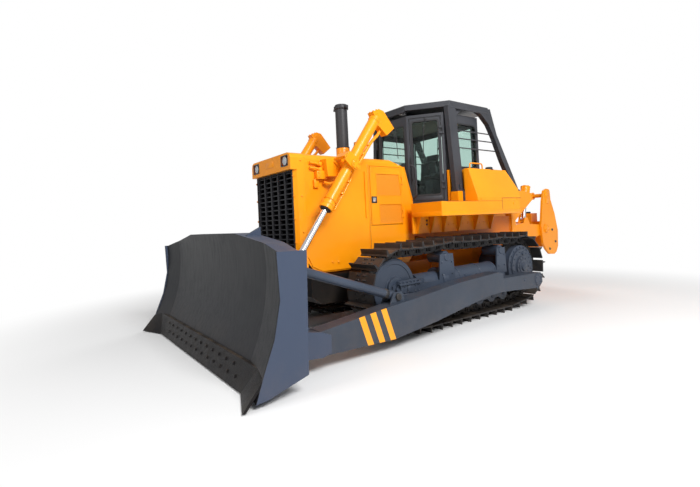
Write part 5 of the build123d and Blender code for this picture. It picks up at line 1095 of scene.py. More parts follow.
def nose_fittings():
    """Headlamps with their rims, the blank plate between them, the mouth's rim and the nose's bolts."""
    bowls = bmesh.new()
    lenses = bmesh.new()
    rims = bmesh.new()
    bowl = ((0, 0.030), (-0.012, 0.046), (0.006, 0.062), (0.008, 0.062), (0.010, 0.060))
    lens = ((0, 0.060), (0.003, 0.058), (0.006, 0.040), (0.007, 0.012))
    bezel = ((0, 0.070), (0.010, 0.070), (0.012, 0.063), (0.009, 0.061))
    for sign in (-1, 1):
        y = sign * HEADLAMP_Y
        turned(bowls, (2.872, y, HEADLAMP_Z), AHEAD, bowl, 28)
        turned(lenses, (2.8815, y, HEADLAMP_Z), AHEAD, lens, 28)
        outer = oblong((y - 0.100, y + 0.100), (2.484, 2.640), 0.014)
        hoop(rims, outer, oblong((y - 0.088, y + 0.088), (2.496, 2.628), 0.010), 2.880, 2.893, axis="X")
        turned(rims, (2.874, y, HEADLAMP_Z), AHEAD, bezel, 28)
        front_rises = (1.100, 1.420, 1.740, 2.060, 2.340)
        bolt_grid("tractor", "paint_yellow", (2.829,), (sign * 0.576225,), front_rises, AHEAD, 0.012)
        side_rises = (1.060, 1.560, 2.060, 2.560)
        bolt_grid("tractor", "paint_yellow", (2.720,), (sign * 0.610,), side_rises, (0, sign, 0), 0.013)
    piece("headlamp_bowls", bowls, "tractor", "chrome_rod", BOWL)
    piece("headlamp_lenses", lenses, "tractor", "glass", LENS)
    piece("headlamp_rims", rims, "tractor", "cab_charcoal", soft=0.0015)
    bm = bmesh.new()
    prism(bm, oblong((-0.115, 0.115), (2.520, 2.606), 0.012), 2.887, 2.892, axis="X")
    piece("brow_plate", bm, "tractor", "paint_yellow", soft=0.0015)
    bm = bmesh.new()
    mouth = ((-0.560, 0.560), (0.996, 2.425))
    hoop(bm, oblong(*mouth), oblong(*grown(*mouth, -0.014)), 2.827, 2.836, axis="X")
    piece("mouth_rim", bm, "tractor", "grille_black", soft=0.002)


def stack_fittings():
    """Exhaust clamps, sleeve and base bolts, the pre-cleaner's cap and collars, and the hood's caps."""
    bm = bmesh.new()
    x, y = STACK
    turned(bm, (x, y, 3.562), UP, ((0, 0.112), (0.006, 0.122), (0.050, 0.122), (0.056, 0.112)), 36)
    block(bm, (1.470, 1.538), (-0.175, -0.110), (3.568, 3.608))
    block(bm, (1.480, 1.528), (0.105, 0.168), (3.568, 3.608))
    turned(bm, (x, y, 2.906), UP, ((0, 0.108), (0.004, 0.114), (0.020, 0.114), (0.024, 0.108)), 36)
    piece("stack_clamps", bm, "tractor", "stack_steel", soft=0.002)
    bm = bmesh.new()
    turned(bm, (x, y, 2.748), UP, ((0, 0.126), (0.010, 0.130), (0.020, 0.130), (0.030, 0.120)), 36)
    turned(bm, (x, y, 2.8), UP, ((0, 0.112), (0.105, 0.112), (0.112, 0.108)), 36)
    piece("stack_sleeve", bm, "tractor", "paint_yellow")
    bolt_circle("tractor", "paint_yellow", (x, y, 2.750), UP, 0.139, 8, 0.0105)
    bm = bmesh.new()
    x, y = PRECLEANER
    dome = (
        (0, 0.070), (0.012, 0.088), (0.060, 0.090), (0.066, 0.090),
        (0.100, 0.084), (0.126, 0.060), (0.134, 0.020),
    )
    turned(bm, (x, y, 2.955), UP, dome, 28)
    piece("precleaner_cap", bm, "tractor", "cab_charcoal", RUBBER)
    bm = bmesh.new()
    turned(bm, (x, y, 2.670), UP, ((0, 0.075), (0.010, 0.075), (0.014, 0.058), (0.040, 0.055)), 24)
    turned(bm, (x, y, 2.925), UP, ((0, 0.056), (0.004, 0.060), (0.018, 0.060), (0.022, 0.056)), 24)
    piece("precleaner_collars", bm, "tractor", "paint_yellow")
    bm = bmesh.new()
    cap = ((0, 0.060), (0.014, 0.060), (0.020, 0.052), (0.022, 0.030), (0.034, 0.028))
    for sign in (-1, 1):
        turned(bm, (2.300, sign * 0.280, HOOD_TOP_Z + 0.001), UP, cap, 20)
    block(bm, (1.980, 2.190), (-0.105, 0.105), (HOOD_TOP_Z, 2.676))
    piece("hood_top_caps", bm, "tractor", "paint_yellow", soft=0.002)
    bolt_grid("tractor", "paint_yellow", (1.995, 2.175), (-0.090, 0.090), (2.676,), UP, 0.008)


# ---------------------------------------------------------------- lift cylinders
LIFT_TOP = Vector((2.048, 0.0, 2.480))
LIFT_EYE = Vector((3.390, 0.0, 0.640))
LIFT_LAY = (LIFT_EYE - LIFT_TOP).normalized()
LIFT_OUT = Vector((LIFT_LAY.z, 0, -LIFT_LAY.x))  # square to the cylinder, to its rear and down
LIFT_Y = 0.850
# The head block's sloping faces: two points in the trunnion's frame, and the way each faces.
HEAD_REAR = (Vector((-0.560, 0, 0.864)), Vector((-0.860, 0, 0.605)), (-0.653, 0, 0.757))
HEAD_TOP = (Vector((-0.440, 0, 0.815)), Vector((-0.560, 0, 0.870)), (0.417, 0, 0.909))


def on_lift(sign, along, out=0.0):
    """Point by a lift cylinder: distance along it from the trunnion, and square to it."""
    return LIFT_TOP + Vector((0, sign * LIFT_Y, 0)) + LIFT_LAY * along + LIFT_OUT * out


def lift_frame(sign, out):
    """Frame with its third axis along a lift cylinder, its middle on the rear of the barrel."""
    rows = Matrix((Vector((0, 1, 0)), LIFT_OUT, LIFT_LAY)).transposed().to_4x4()
    return Matrix.Translation(on_lift(sign, 0.0, out)) @ rows


def lift_fittings(side, sign):
    """Gland seal, weld rings, feed pipes, clamps and crosshead bolts of one lift cylinder."""
    body = "lift_barrel_pair"
    bm = bmesh.new()
    seal = ((0, 0.080), (0.016, 0.080), (0.022, 0.072), (0.034, 0.054), (0.034, 0.0425))
    turned(bm, on_lift(sign, 0.762), LIFT_LAY, seal, 32)
    piece(f"gland_seal_{side}", bm, body, "cab_charcoal", RUBBER)
    bm = bmesh.new()
    for along, radius, width in (
        (-0.872, 0.092, 0.030), (-0.300, 0.0855, 0.012), (0.610, 0.094, 0.024), (0.655, 0.100, 0.052),
    ):
        turned(bm, on_lift(sign, along), LIFT_LAY, band(width, radius), 40)
    for end in (-1, 1):
        foot = on_lift(sign, 0.0) + Vector((0, end * 0.141, 0))
        turned(bm, foot, (0, end, 0), ((0, 0.072), (0.016, 0.072), (0.022, 0.064)), 28)
    prism(bm, oblong((-0.066, 0.066), (-0.040, 0.040)), -0.900, -0.810, axis=lift_frame(sign, 0.070))
    piece(f"barrel_rings_{side}", bm, body, "paint_yellow", soft=0.002)
    bm = bmesh.new()
    head_run = (
        (-0.855, 0.080), (-0.855, 0.165), (-0.740, 0.175), (-0.560, 0.128), (-0.130, 0.120), (-0.040, 0.090),
    )
    rod_run = ((0.690, 0.090), (0.690, 0.132), (0.620, 0.132), (0.150, 0.132), (0.060, 0.080))
    pipe(bm, [on_lift(sign, *spot) for spot in head_run], 0.024, 12, 0.09)
    pipe(bm, [on_lift(sign, *spot) for spot in rod_run], 0.013, 10, 0.05)
    piece(f"cylinder_pipes_{side}", bm, body, "paint_yellow")
    bm = bmesh.new()
    for along, out, radius in (
        (0.690, 0.100, 0.026), (0.420, 0.110, 0.024), (0.210, 0.110, 0.024),
        (-0.300, 0.100, 0.034), (-0.480, 0.104, 0.034),
    ):
        turned(bm, on_lift(sign, along - 0.018, out), LIFT_LAY, ((0, radius), (0.036, radius)), 6)
    piece(f"pipe_saddles_{side}", bm, body, "paint_yellow", soft=0.003)
    for spot in ((0.420, 0.136), (0.210, 0.136), (-0.300, 0.140), (-0.480, 0.142)):
        bolt(body, "paint_yellow", on_lift(sign, *spot), LIFT_OUT, 0.010)
    trunnion_end = on_lift(sign, 0.0) + Vector((0, sign * 0.163, 0))
    bolt_circle(body, "paint_yellow", trunnion_end, (0, sign, 0), 0.046, 4, 0.009)
    middle = LIFT_TOP + Vector((0, sign * LIFT_Y, 0))
    for (start, end, facing), shares, rim, size in (
        (HEAD_REAR, (0.22, 0.5, 0.78), 0.042, 0.013), (HEAD_TOP, (0.25, 0.75), 0.040, 0.012),
    ):
        for share, aside in itertools.product(shares, (-rim, rim)):
            bolt(body, "paint_yellow", middle + start.lerp(end, share) + Vector((0, aside, 0)), facing, size)
    bm = bmesh.new()
    for end in (-1, 1):
        foot = (LIFT_EYE.x, sign * LIFT_Y + end * 0.075, LIFT_EYE.z)
        turned(bm, foot, (0, end, 0), ((0, 0.050), (0.020, 0.050), (0.026, 0.042)), 24)
    piece(f"lift_pins_{side}", bm, "blade_frame", "track_steel")


both_sides(door_fittings, hood_fittings, lift_fittings)
nose_fittings()
stack_fittings()

# ---------------------------------------------------------------- cab
CAB_FRONT = Vector((0.348, 0.360, 0.0))
CAB_SIDE = Vector((-0.052, 0.850, 0.0))
CAB_REAR_X = -1.010
DOOR_SPAN = (0.048, (CAB_FRONT - CAB_SIDE).length - 0.048)
DOOR_RISE = (1.978, 3.444)
PANE_SPAN = (DOOR_SPAN[0] + 0.038, DOOR_SPAN[1] - 0.038)
PANE_RISE = (DOOR_RISE[0] + 0.105, DOOR_RISE[1] - 0.055)
FRONT_PANE = ((-0.305, 0.305), (2.420, 3.342))
REAR_PANE = ((-0.720, 0.720), (2.480, 3.342))
SIDE_PANE = ((-0.940, -0.162), (2.560, 3.342))
WIPER_HUB = ((0, 0.026), (0.022, 0.026), (0.026, 0.020))
DASH_LEAN = Matrix(((0, 0.581, -0.814), (1, 0, 0), (0, 0.814, 0.581))).to_4x4()
DASH_FRAME = Matrix.Translation((0.115, 0, 2.575)) @ DASH_LEAN
SEAT_PADS = (  # x, y and z ranges of the cushion, backrest and headrest, with their lean
    ((-0.600, -0.130), (-0.235, 0.235), (2.135, 2.275), 0.0),
    ((-0.665, -0.555), (-0.230, 0.230), (2.290, 2.790), -0.10),
    ((-0.700, -0.620), (-0.130, 0.130), (2.815, 2.940), -0.10),
)
SEAT_BASE_Z = 2.290
SEAT_CELL = 0.014
SWELL_STEPS = 12
SWELL_LIMIT = 0.018


def door_frame(sign):
    """Frame of a cab door: along the wall to the front, up, and outwards."""
    along = Vector((CAB_FRONT.x - CAB_SIDE.x, sign * (CAB_FRONT.y - CAB_SIDE.y), 0)).normalized()
    out = Vector((along.y, -along.x, 0)) * (-sign)
    rows = Matrix((along, Vector((0, 0, 1)), out)).transposed().to_4x4()
    return Matrix.Translation((CAB_SIDE.x, sign * CAB_SIDE.y, 0)) @ rows


def gasket(bm, u, v, start, end, axis, corner=0.03):
    """Rubber strip round a window: from 12 mm outside its opening to 16 mm inside."""
    outer = oblong(*grown(u, v, 0.012), corner + 0.012)
    inner = oblong(*grown(u, v, -0.016), corner)
    hoop(bm, outer, inner, start, end, axis=axis)


def cab_windows():
    """Gaskets of the fixed windows, the front and rear wipers and the roof's lamps."""
    bm = bmesh.new()
    gasket(bm, *FRONT_PANE, 0.346, 0.354, "X")
    gasket(bm, *REAR_PANE, CAB_REAR_X - 0.006, CAB_REAR_X + 0.002, "X")
    for _, sign in SIDES:
        gasket(bm, *SIDE_PANE, *mirrored(sign, 0.848, 0.856), "Y", 0.060)
    piece("window_gaskets", bm, "tractor", "cab_charcoal", RUBBER, soft=0.0015)
    bm = bmesh.new()
    turned(bm, (0.346, 0.0, 3.380), AHEAD, WIPER_HUB, 16)
    pipe(bm, ((0.366, 0.0, 3.380), (0.372, 0.060, 3.240), (0.366, 0.120, 3.060)), 0.006, 8)
    pipe(bm, ((0.363, 0.105, 3.340), (0.363, 0.135, 2.780)), 0.007, 6, 0)
    turned(bm, (CAB_REAR_X + 0.002, 0.0, 3.375), BACK, WIPER_HUB, 16)
    pipe(bm, ((CAB_REAR_X - 0.018, 0.0, 3.375), (CAB_REAR_X - 0.022, -0.120, 3.060)), 0.006, 8, 0)
    pipe(bm, ((CAB_REAR_X - 0.016, -0.105, 3.300), (CAB_REAR_X - 0.016, -0.140, 2.820)), 0.007, 6, 0)
    piece("wipers", bm, "tractor", "cab_charcoal", RUBBER)
    cases = bmesh.new()
    lenses = bmesh.new()
    case = ((0, 0.072), (0.018, 0.072), (0.030, 0.064), (0.034, 0.058))
    for y in (0.235, -0.235):
        turned(cases, (0.300, y, 3.592), DOWN, case, 28)
        turned(lenses, (0.300, y, 3.5585), DOWN, ((0, 0.057), (0.004, 0.054), (0.008, 0.030)), 28)
    piece("roof_lamp_cases", cases, "tractor", "cab_charcoal")
    piece("roof_lamp_lenses", lenses, "tractor", "glass", LENS)


def cab_door_fittings(side, sign):
    """Gaskets, handle with its lock, wiper and lower kick plate of one cab door."""
    body = f"cab_door_{side}_body"
    wall = door_frame(sign)
    out = wall.to_3x3() @ Vector((0, 0, 1))

    def on_wall(*points):
        """Points given in the wall's frame."""
        return [wall @ Vector(p) for p in points]

    bm = bmesh.new()
    gasket(bm, PANE_SPAN, PANE_RISE, -0.002, 0.006, wall, 0.035)
    gasket(bm, PANE_SPAN, PANE_RISE, -0.050, -0.043, wall, 0.035)
    outer = oblong(*grown(DOOR_SPAN, DOOR_RISE, -0.002), 0.02)
    hoop(bm, outer, oblong(*grown(DOOR_SPAN, DOOR_RISE, -0.010), 0.014), -0.006, 0.003, axis=wall)
    piece(f"door_gaskets_{side}", bm, body, "cab_charcoal", RUBBER)
    bm = bmesh.new()
    grip = DOOR_SPAN[1] - 0.019
    bar = on_wall((grip, 2.360, 0.0), (grip, 2.360, 0.045), (grip, 2.760, 0.045), (grip, 2.760, 0.0))
    pipe(bm, bar, 0.010, 10, 0.035)
    prism(bm, oblong((grip - 0.016, grip + 0.016), (2.270, 2.340), 0.006), -0.001, 0.012, axis=wall)
    turned(bm, wall @ Vector((grip, 2.305, 0.011)), out, ((0, 0.011), (0.008, 0.010)), 14)
    piece(f"door_handle_{side}", bm, body, "cab_charcoal", RUBBER)
    bm = bmesh.new()
    turned(bm, wall @ Vector((0.300, 3.415, 0.001)), out, ((0, 0.022), (0.018, 0.022), (0.022, 0.016)), 16)
    pipe(bm, on_wall((0.300, 3.415, 0.016), (0.330, 3.250, 0.018), (0.352, 3.020, 0.014)), 0.005, 8)
    pipe(bm, on_wall((0.338, 3.300, 0.013), (0.360, 2.760, 0.013)), 0.0065, 6, 0)
    piece(f"door_wiper_{side}", bm, body, "cab_charcoal", RUBBER)
    bm = bmesh.new()
    low, high = PANE_SPAN
    prism(bm, oblong((low - 0.010, high + 0.010), (1.992, 2.062), 0.01), -0.001, 0.006, axis=wall)
    prism(bm, oblong((low + 0.010, high - 0.010), (2.060, 2.068)), -0.048, -0.040, axis=wall)
    piece(f"door_kick_plate_{side}", bm, body, "cab_charcoal", soft=0.0015)
    for place in on_wall(*((u, 2.028, 0.006) for u in (low + 0.010, (low + high) / 2, high - 0.010))):
        bolt(body, "cab_charcoal", place, out, 0.006)


def cab_inside():
    """Headlining, floor mat, armrests with their levers, pedals and dash panel."""
    bm = bmesh.new()
    block(bm, (-0.930, -0.100), (-0.780, 0.780), (3.420, 3.446))
    block(bm, (-0.100, 0.180), (-0.420, 0.420), (3.424, 3.446))
    piece("headlining", bm, "tractor", "seat_fabric", PALE_LINING, soft=0.006)
    bm = bmesh.new()
    block(bm, (-0.940, -0.080), (-0.780, 0.780), (1.966, 1.974))
    block(bm, (-0.080, 0.165), (-0.440, 0.440), (1.966, 1.974))
    piece("floor_mat", bm, "tractor", "console_plastic", RUBBER, soft=0.002)
    bm = bmesh.new()
    armrest = ((-0.680, 2.470), (-0.240, 2.500), (-0.060, 2.440), (-0.060, 2.400), (-0.680, 2.400))
    for sign in (-1, 1):
        block(bm, (-0.640, -0.100), mirrored(sign, 0.330, 0.500), (1.975, 2.360))
        prism(bm, armrest, *mirrored(sign, 0.320, 0.510))
        block(bm, (-0.520, -0.220), mirrored(sign, 0.370, 0.460), (2.350, 2.410))
    block(bm, (-0.930, -0.760), (-0.560, 0.560), (1.975, 2.420))
    piece("side_consoles", bm, "tractor", "console_plastic", soft=0.010)
    bm = bmesh.new()
    boot = ((0, 0.036), (0.02, 0.034), (0.05, 0.020), (0.07, 0.010), (0.13, 0.009))
    knob = ((0, 0.012), (0.020, 0.022), (0.060, 0.026), (0.090, 0.022), (0.102, 0.010))
    for x, y in ((-0.130, 0.400), (-0.130, -0.400), (-0.260, -0.440)):
        turned(bm, (x, y, 2.440), (0.1, 0, 1), boot, 16)
        turned(bm, (x + 0.013, y, 2.565), (0.1, 0, 1), knob, 16)
    for y in (-0.180, 0.0, 0.180):
        prism(bm, ((0.050, 2.060), (0.120, 2.160), (0.132, 2.152), (0.062, 2.052)), y - 0.045, y + 0.045)
        pipe(bm, ((0.095, y, 2.105), (0.170, y, 2.060)), 0.008, 8, 0)
    piece("levers_and_pedals", bm, "tractor", "console_plastic", RUBBER)
    bm = bmesh.new()
    prism(bm, oblong((-0.190, 0.190), (0.028, 0.128), 0.012), 0.0, 0.008, axis=DASH_FRAME)
    piece("dash_panel", bm, "tractor", "console_plastic", DIAL_BOARD, soft=0.002)


def swollen_mesh(pads):
    """Mesh of the pads blown up as cloth over their filling, each point by a limited way."""
    rest = [vert.co.copy() for vert in pads.data.vertices]
    cloth = pads.modifiers.new("swell", "CLOTH")
    cloth.settings.quality = 4
    cloth.settings.use_pressure = True
    cloth.settings.uniform_pressure_force = 4.0
    cloth.settings.effector_weights.gravity = 0.0
    cloth.point_cache.frame_start = 1
    cloth.point_cache.frame_end = 20
    scene = bpy.context.scene
    for step in range(SWELL_STEPS):
        scene.frame_set(step + 1)
    mesh = final_mesh(pads)
    pads.modifiers.clear()
    scene.frame_set(1)
    for vert, start in zip(mesh.vertices, rest):
        move = vert.co - start
        if move.length > SWELL_LIMIT:
            move = move.normalized() * SWELL_LIMIT
        vert.co = start + move
    return mesh


def padded_seat():
    """Stuffed seat on its pedestal: cushion, backrest and headrest."""
    bm = bmesh.new()
    for x, y, z, lean in SEAT_PADS:
        start = len(bm.verts)
        block(bm, x, y, z)
        bm.verts.ensure_lookup_table()
        for vert in bm.verts[start:]:
            vert.co.x += lean * (vert.co.z - SEAT_BASE_Z)
    pads = to_object("seat_pads", bm, FINISHES["seat_fabric"])
    remesh = pads.modifiers.new("even_cells", "REMESH")
    remesh.mode = "VOXEL"
    remesh.voxel_size = SEAT_CELL
    pads.data = final_mesh(pads)
    pads.modifiers.clear()
    pads.data = swollen_mesh(pads)
    smooth = pads.modifiers.new("rounds", "SUBSURF")
    smooth.levels = smooth.render_levels = 1
    pads.data = final_mesh(pads)
    pads.modifiers.clear()
    pads.data.shade_smooth()
    pads.data.materials.clear()
    pads.data.materials.append(FINISHES["seat_fabric"])
    settle(pads, "tractor")
    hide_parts("seat")
    bm = bmesh.new()
    pedestal = ((0, 0.150), (0.012, 0.150), (0.030, 0.100), (0.130, 0.090), (0.150, 0.160), (0.165, 0.160))
    turned(bm, (-0.370, 0, 1.974), UP, pedestal, 24)
    block(bm, (-0.640, -0.612), (-0.050, 0.050), (2.130, 2.350))
    for y in (-0.060, 0.060):
        pipe(bm, ((-0.660, y, 2.760), (-0.668, y, 2.850)), 0.006, 8, 0)
    piece("seat_frame", bm, "tractor", "console_plastic", soft=0.003)


# ---------------------------------------------------------------- canopy and platform
GUARD_Y = 0.888
GUARD_FRONT_X = -0.190
GUARD_BARS = ((-1.350, 3.210), (-1.450, 3.065), (-1.535, 2.900))  # rear end and height
FOOT_TOP_Z = 2.134
REAR_FOOT_TOP_Z = 2.160
ROOF_Z = 3.690
LIP_Y = 1.3545
DECK_Z = 1.9245
TREAD_TOP_Z = 1.9300


def canopy_fittings():
    """Window guard bars, foot plates, gussets, gutter strips and bolts of the canopy."""
    bm = bmesh.new()
    for (x, z), y in itertools.product(GUARD_BARS, (-GUARD_Y, GUARD_Y)):
        pipe(bm, ((x, y, z), (GUARD_FRONT_X, y, z)), 0.011, 10, 0)
    piece("window_guard_bars", bm, "tractor", "cab_charcoal")
    bm = bmesh.new()
    for sign in (-1, 1):
        block(bm, (-0.262, -0.042), mirrored(sign, 0.942, 1.086), (2.1105, FOOT_TOP_Z))
        prism(bm, oblong((-0.172, -0.132), (FOOT_TOP_Z, 2.240)), *mirrored(sign, 1.040, 1.078))
        block(bm, (-2.110, -1.945), mirrored(sign, 0.862, 0.974), (2.1405, REAR_FOOT_TOP_Z))
        prism(bm, ((-0.250, 3.588), (-0.480, 3.588), (-0.250, 3.380)), *mirrored(sign, 0.895, 0.925))
        block(bm, (-1.180, -0.130), mirrored(sign, 0.953, 0.967), (3.560, 3.594))
        for xs, ys, z, size in (
            ((-0.236, -0.068), (0.966, 1.066), FOOT_TOP_Z, 0.015),
            ((-2.092, -1.964), (0.872, 0.962), REAR_FOOT_TOP_Z, 0.012),
            ((-0.950, -0.650, -0.350), (0.700,), ROOF_Z, 0.012),
        ):
            bolt_grid("tractor", "cab_charcoal", xs, [sign * y for y in ys], (z,), UP, size)
    block(bm, (0.366, 0.380), (-0.350, 0.350), (3.566, 3.596))
    piece("canopy_plates", bm, "tractor", "cab_charcoal", soft=0.003)


def platform_fittings(side, sign):
    """Tank handle and cap, lip, seams, tread strips, hand rail, bolts and grease points on one side."""
    out = (0, sign, 0)
    bm = bmesh.new()
    handle = ((-0.336, 2.480), (-0.336, 2.590), (-0.686, 2.590), (-0.686, 2.480))
    pipe(bm, [(x, sign * 1.130, z) for x, z in handle], 0.012, 12, 0.05)
    piece(f"tank_handle_{side}", bm, "tractor", "paint_yellow")
    bm = bmesh.new()
    cap = ((0, 0.072), (0.016, 0.072), (0.020, 0.062), (0.046, 0.060), (0.052, 0.052))
    turned(bm, (-0.882, sign * 1.130, 2.486), UP, cap, 24)
    piece(f"tank_cap_{side}", bm, "tractor", "cab_charcoal", RUBBER)
    bm = bmesh.new()
    block(bm, (-1.452, 0.703), mirrored(sign, 1.340, LIP_Y), (1.700, 1.772))
    block(bm, (0.695, 0.7075), mirrored(sign, 0.740, 1.348), (1.700, 1.772))
    turned(bm, (-1.250, sign * 1.349, 1.880), out, ((0, 0.022), (0.006, 0.022), (0.009, 0.016)), 18)
    piece(f"platform_lip_{side}", bm, "tractor", "paint_yellow", soft=0.002)
    bm = bmesh.new()
    for x, z in (
        ((-0.896, -0.888), (1.772, 1.976)),
        ((-1.478, -0.888), (1.970, 1.977)),
        ((-0.888, 0.600), (1.9215, DECK_Z)),
    ):
        block(bm, x, mirrored(sign, 1.3485, 1.3520), z)
    piece(f"platform_seams_{side}", bm, "tractor", "grille_black")
    bm = bmesh.new()
    for x in [0.02 + 0.046 * i for i in range(14)]:
        block(bm, (x, x + 0.026), mirrored(sign, 0.960, 1.320), (DECK_Z, TREAD_TOP_Z))
    for y in [0.745 + 0.042 * i for i in range(5)]:
        block(bm, (0.480, 0.680), mirrored(sign, y, y + 0.024), (DECK_Z, TREAD_TOP_Z))
    piece(f"tread_strips_{side}", bm, "tractor", "cab_charcoal", RUBBER)
    bm = bmesh.new()
    rail = ((0.440, 0.520, 2.020), (0.470, 0.640, 2.060), (0.470, 0.640, 2.560), (0.500, 0.540, 2.600))
    pipe(bm, [(x, sign * y, z) for x, y, z in rail], 0.014, 12, 0.06)
    piece(f"hand_rail_{side}", bm, "tractor", "cab_charcoal")
    bm = bmesh.new()
    for z in (1.575, 1.640):
        turned(bm, (0.380, sign * 0.747, z), out, ((0, 0.016), (0.010, 0.016)), 14)
    piece(f"grease_points_{side}", bm, "tractor", "stack_steel")
    bracket_bolts = [x + step for x in (0.560, 0.140, -0.250, -0.650, -1.140) for step in (-0.070, 0.070)]
    bolt_grid("tractor", "paint_yellow", bracket_bolts, (sign * 0.745,), (1.560,), out, 0.012)
    bolt_grid("tractor", "paint_yellow", (-0.300, -1.360), (sign * 1.3495,), (1.960,), out, 0.011)


cab_windows()
cab_inside()
padded_seat()
canopy_fittings()
both_sides(cab_door_fittings, platform_fittings)

# ---------------------------------------------------------------- blade, ripper and rear
EDGE_UPPER = Vector((4.053, 0.0, 0.300))
EDGE_LOWER = Vector((4.141, 0.0, 0.015))
EDGE_OUT = (0.955, 0.0, 0.295)
EDGE_BOLT_STEP = 0.215
EDGE_BOLT_REACH = 1.420
RIB = ((3.505, 0.470), (3.505, 1.080), (3.592, 1.500), (3.640, 1.500), (3.640, 0.260), (3.560, 0.260))
RIP_ARM_PIN = Vector((-3.800, 0.0, 1.340))
RIP_LINK_FOOT = Vector((-2.600, 0.0, 2.110))
RIP_LINK_HEAD = Vector((-3.900, 0.0, 2.100))
LINK_LAY = (RIP_LINK_HEAD - RIP_LINK_FOOT).normalized()
RIP_TOP = Vector((-3.215, 0.0, 2.060))
RIP_EYE = Vector((-3.105, 0.0, 1.551))
RIP_LAY = (RIP_EYE - RIP_TOP).normalized()
RIP_ACROSS = Vector((-RIP_LAY.z, 0, RIP_LAY.x))
RIP_LIFT_Y = 0.430
RIP_LINK_Y = 0.205
RIP_FACE_Y = 0.565
DOUBLER = (
    (-3.965, 1.905), (-3.845, 1.905), (-3.800, 2.190), (-3.835, 2.225), (-3.990, 2.215), (-4.020, 2.180),
)
TOOTH = ((-4.078, 0.405), (-3.950, 0.222), (-3.790, 0.138), (-3.845, 0.292), (-3.900, 0.420), (-3.985, 0.500))
REAR_X = -2.229


def blade_fittings():
    """Plough bolts of the cutting edge, the ribs on the blade's back and the push arms' end caps."""
    for share, step in ((0.26, 0.0), (0.62, 0.5)):
        seat = EDGE_UPPER.lerp(EDGE_LOWER, share)
        row = [(i + step) * EDGE_BOLT_STEP for i in range(-6, 7)]
        ys = [y for y in row if abs(y) < EDGE_BOLT_REACH]
        bolt_grid("blade_frame", "edge_steel", (seat.x,), ys, (seat.z,), EDGE_OUT, 0.016)
    bm = bmesh.new()
    for y in (-1.130, -0.400, 0.0, 0.400, 1.130):
        prism(bm, RIB, y - 0.014, y + 0.014)
    block(bm, (3.560, 3.600), (-0.700, 0.700), (0.895, 0.935))
    piece("blade_ribs", bm, "blade_frame", "blade_paint", soft=0.004)
    bm = bmesh.new()
    cap = ((-0.010, 0.088), (0.008, 0.088), (0.014, 0.080), (0.014, 0.050), (0.024, 0.044))
    for sign in (-1, 1):
        out = (0, sign, 0)
        turned(bm, (3.200, sign * 1.650, 0.310), out, cap, 28)
        bolt_circle("blade_frame", "blade_paint", (3.200, sign * 1.6645, 0.310), out, 0.066, 6, 0.008)
    piece("arm_end_caps", bm, "blade_frame", "blade_paint")


def carrier_fittings(side, sign):
    """Pin caps, doubler plate and bolts on one side of the ripper's carrier and bracket."""
    out = (0, sign, 0)
    aside = Vector((0, sign * RIP_FACE_Y, 0))
    bm = bmesh.new()
    cap = ((-0.004, 0.100), (0.014, 0.100), (0.020, 0.092), (0.020, 0.055), (0.030, 0.048))
    turned(bm, RIP_ARM_PIN + aside, out, cap, 32)
    turned(bm, RIP_LINK_HEAD + aside, out, ((-0.004, 0.072), (0.012, 0.072), (0.018, 0.064)), 28)
    prism(bm, DOUBLER, *mirrored(sign, RIP_FACE_Y - 0.002, RIP_FACE_Y + 0.008))
    piece(f"ripper_caps_{side}", bm, "ripper_carrier_body", "paint_yellow", soft=0.002)
    cap_face = RIP_ARM_PIN + aside + Vector((0, sign * 0.0205, 0))
    bolt_circle("ripper_carrier_body", "paint_yellow", cap_face, out, 0.074, 6, 0.010)
    for x, z in ((-4.054, 1.299), (-3.910, 0.865), (-4.180, 1.020)):
        bolt("ripper_carrier_body", "cab_charcoal", (x, sign * RIP_FACE_Y, z), out, 0.021)
    heights = (1.260, 1.620, 1.800, 1.980, 2.130)
    bolt_grid("tractor", "paint_yellow", (-2.452,), (sign * 0.5745,), heights, out, 0.014)


def ripper_cylinder_fittings(side, sign):
    """Rings, feed pipe, bolts and gland of one ripper lift cylinder."""
    body = "ripper_barrel_pair"
    top = RIP_TOP + Vector((0, sign * RIP_LIFT_Y, 0))
    bm = bmesh.new()
    turned(bm, top - RIP_LAY * 0.262, RIP_LAY, ((0, 0.074), (0.006, 0.082), (0.014, 0.082)), 32)
    for along, radius, width in ((-0.246, 0.103, 0.026), (0.052, 0.103, 0.042)):
        turned(bm, top + RIP_LAY * along, RIP_LAY, band(width, radius), 40)
    path = ((-0.215, 0.085), (-0.215, 0.135), (-0.080, 0.135), (0.010, 0.085))
    pipe(bm, [top + RIP_LAY * along + RIP_ACROSS * aside for along, aside in path], 0.013, 10, 0.035)
    piece(f"ripper_barrel_rings_{side}", bm, body, "paint_yellow", soft=0.0015)
    bolt_circle(body, "paint_yellow", top - RIP_LAY * 0.262, -RIP_LAY, 0.056, 6, 0.009)
    bm = bmesh.new()
    gland = ((0, 0.076), (0.010, 0.076), (0.020, 0.060), (0.028, 0.0475))
    turned(bm, top + RIP_LAY * 0.094, RIP_LAY, gland, 28)
    piece(f"ripper_gland_{side}", bm, body, "cab_charcoal", RUBBER)


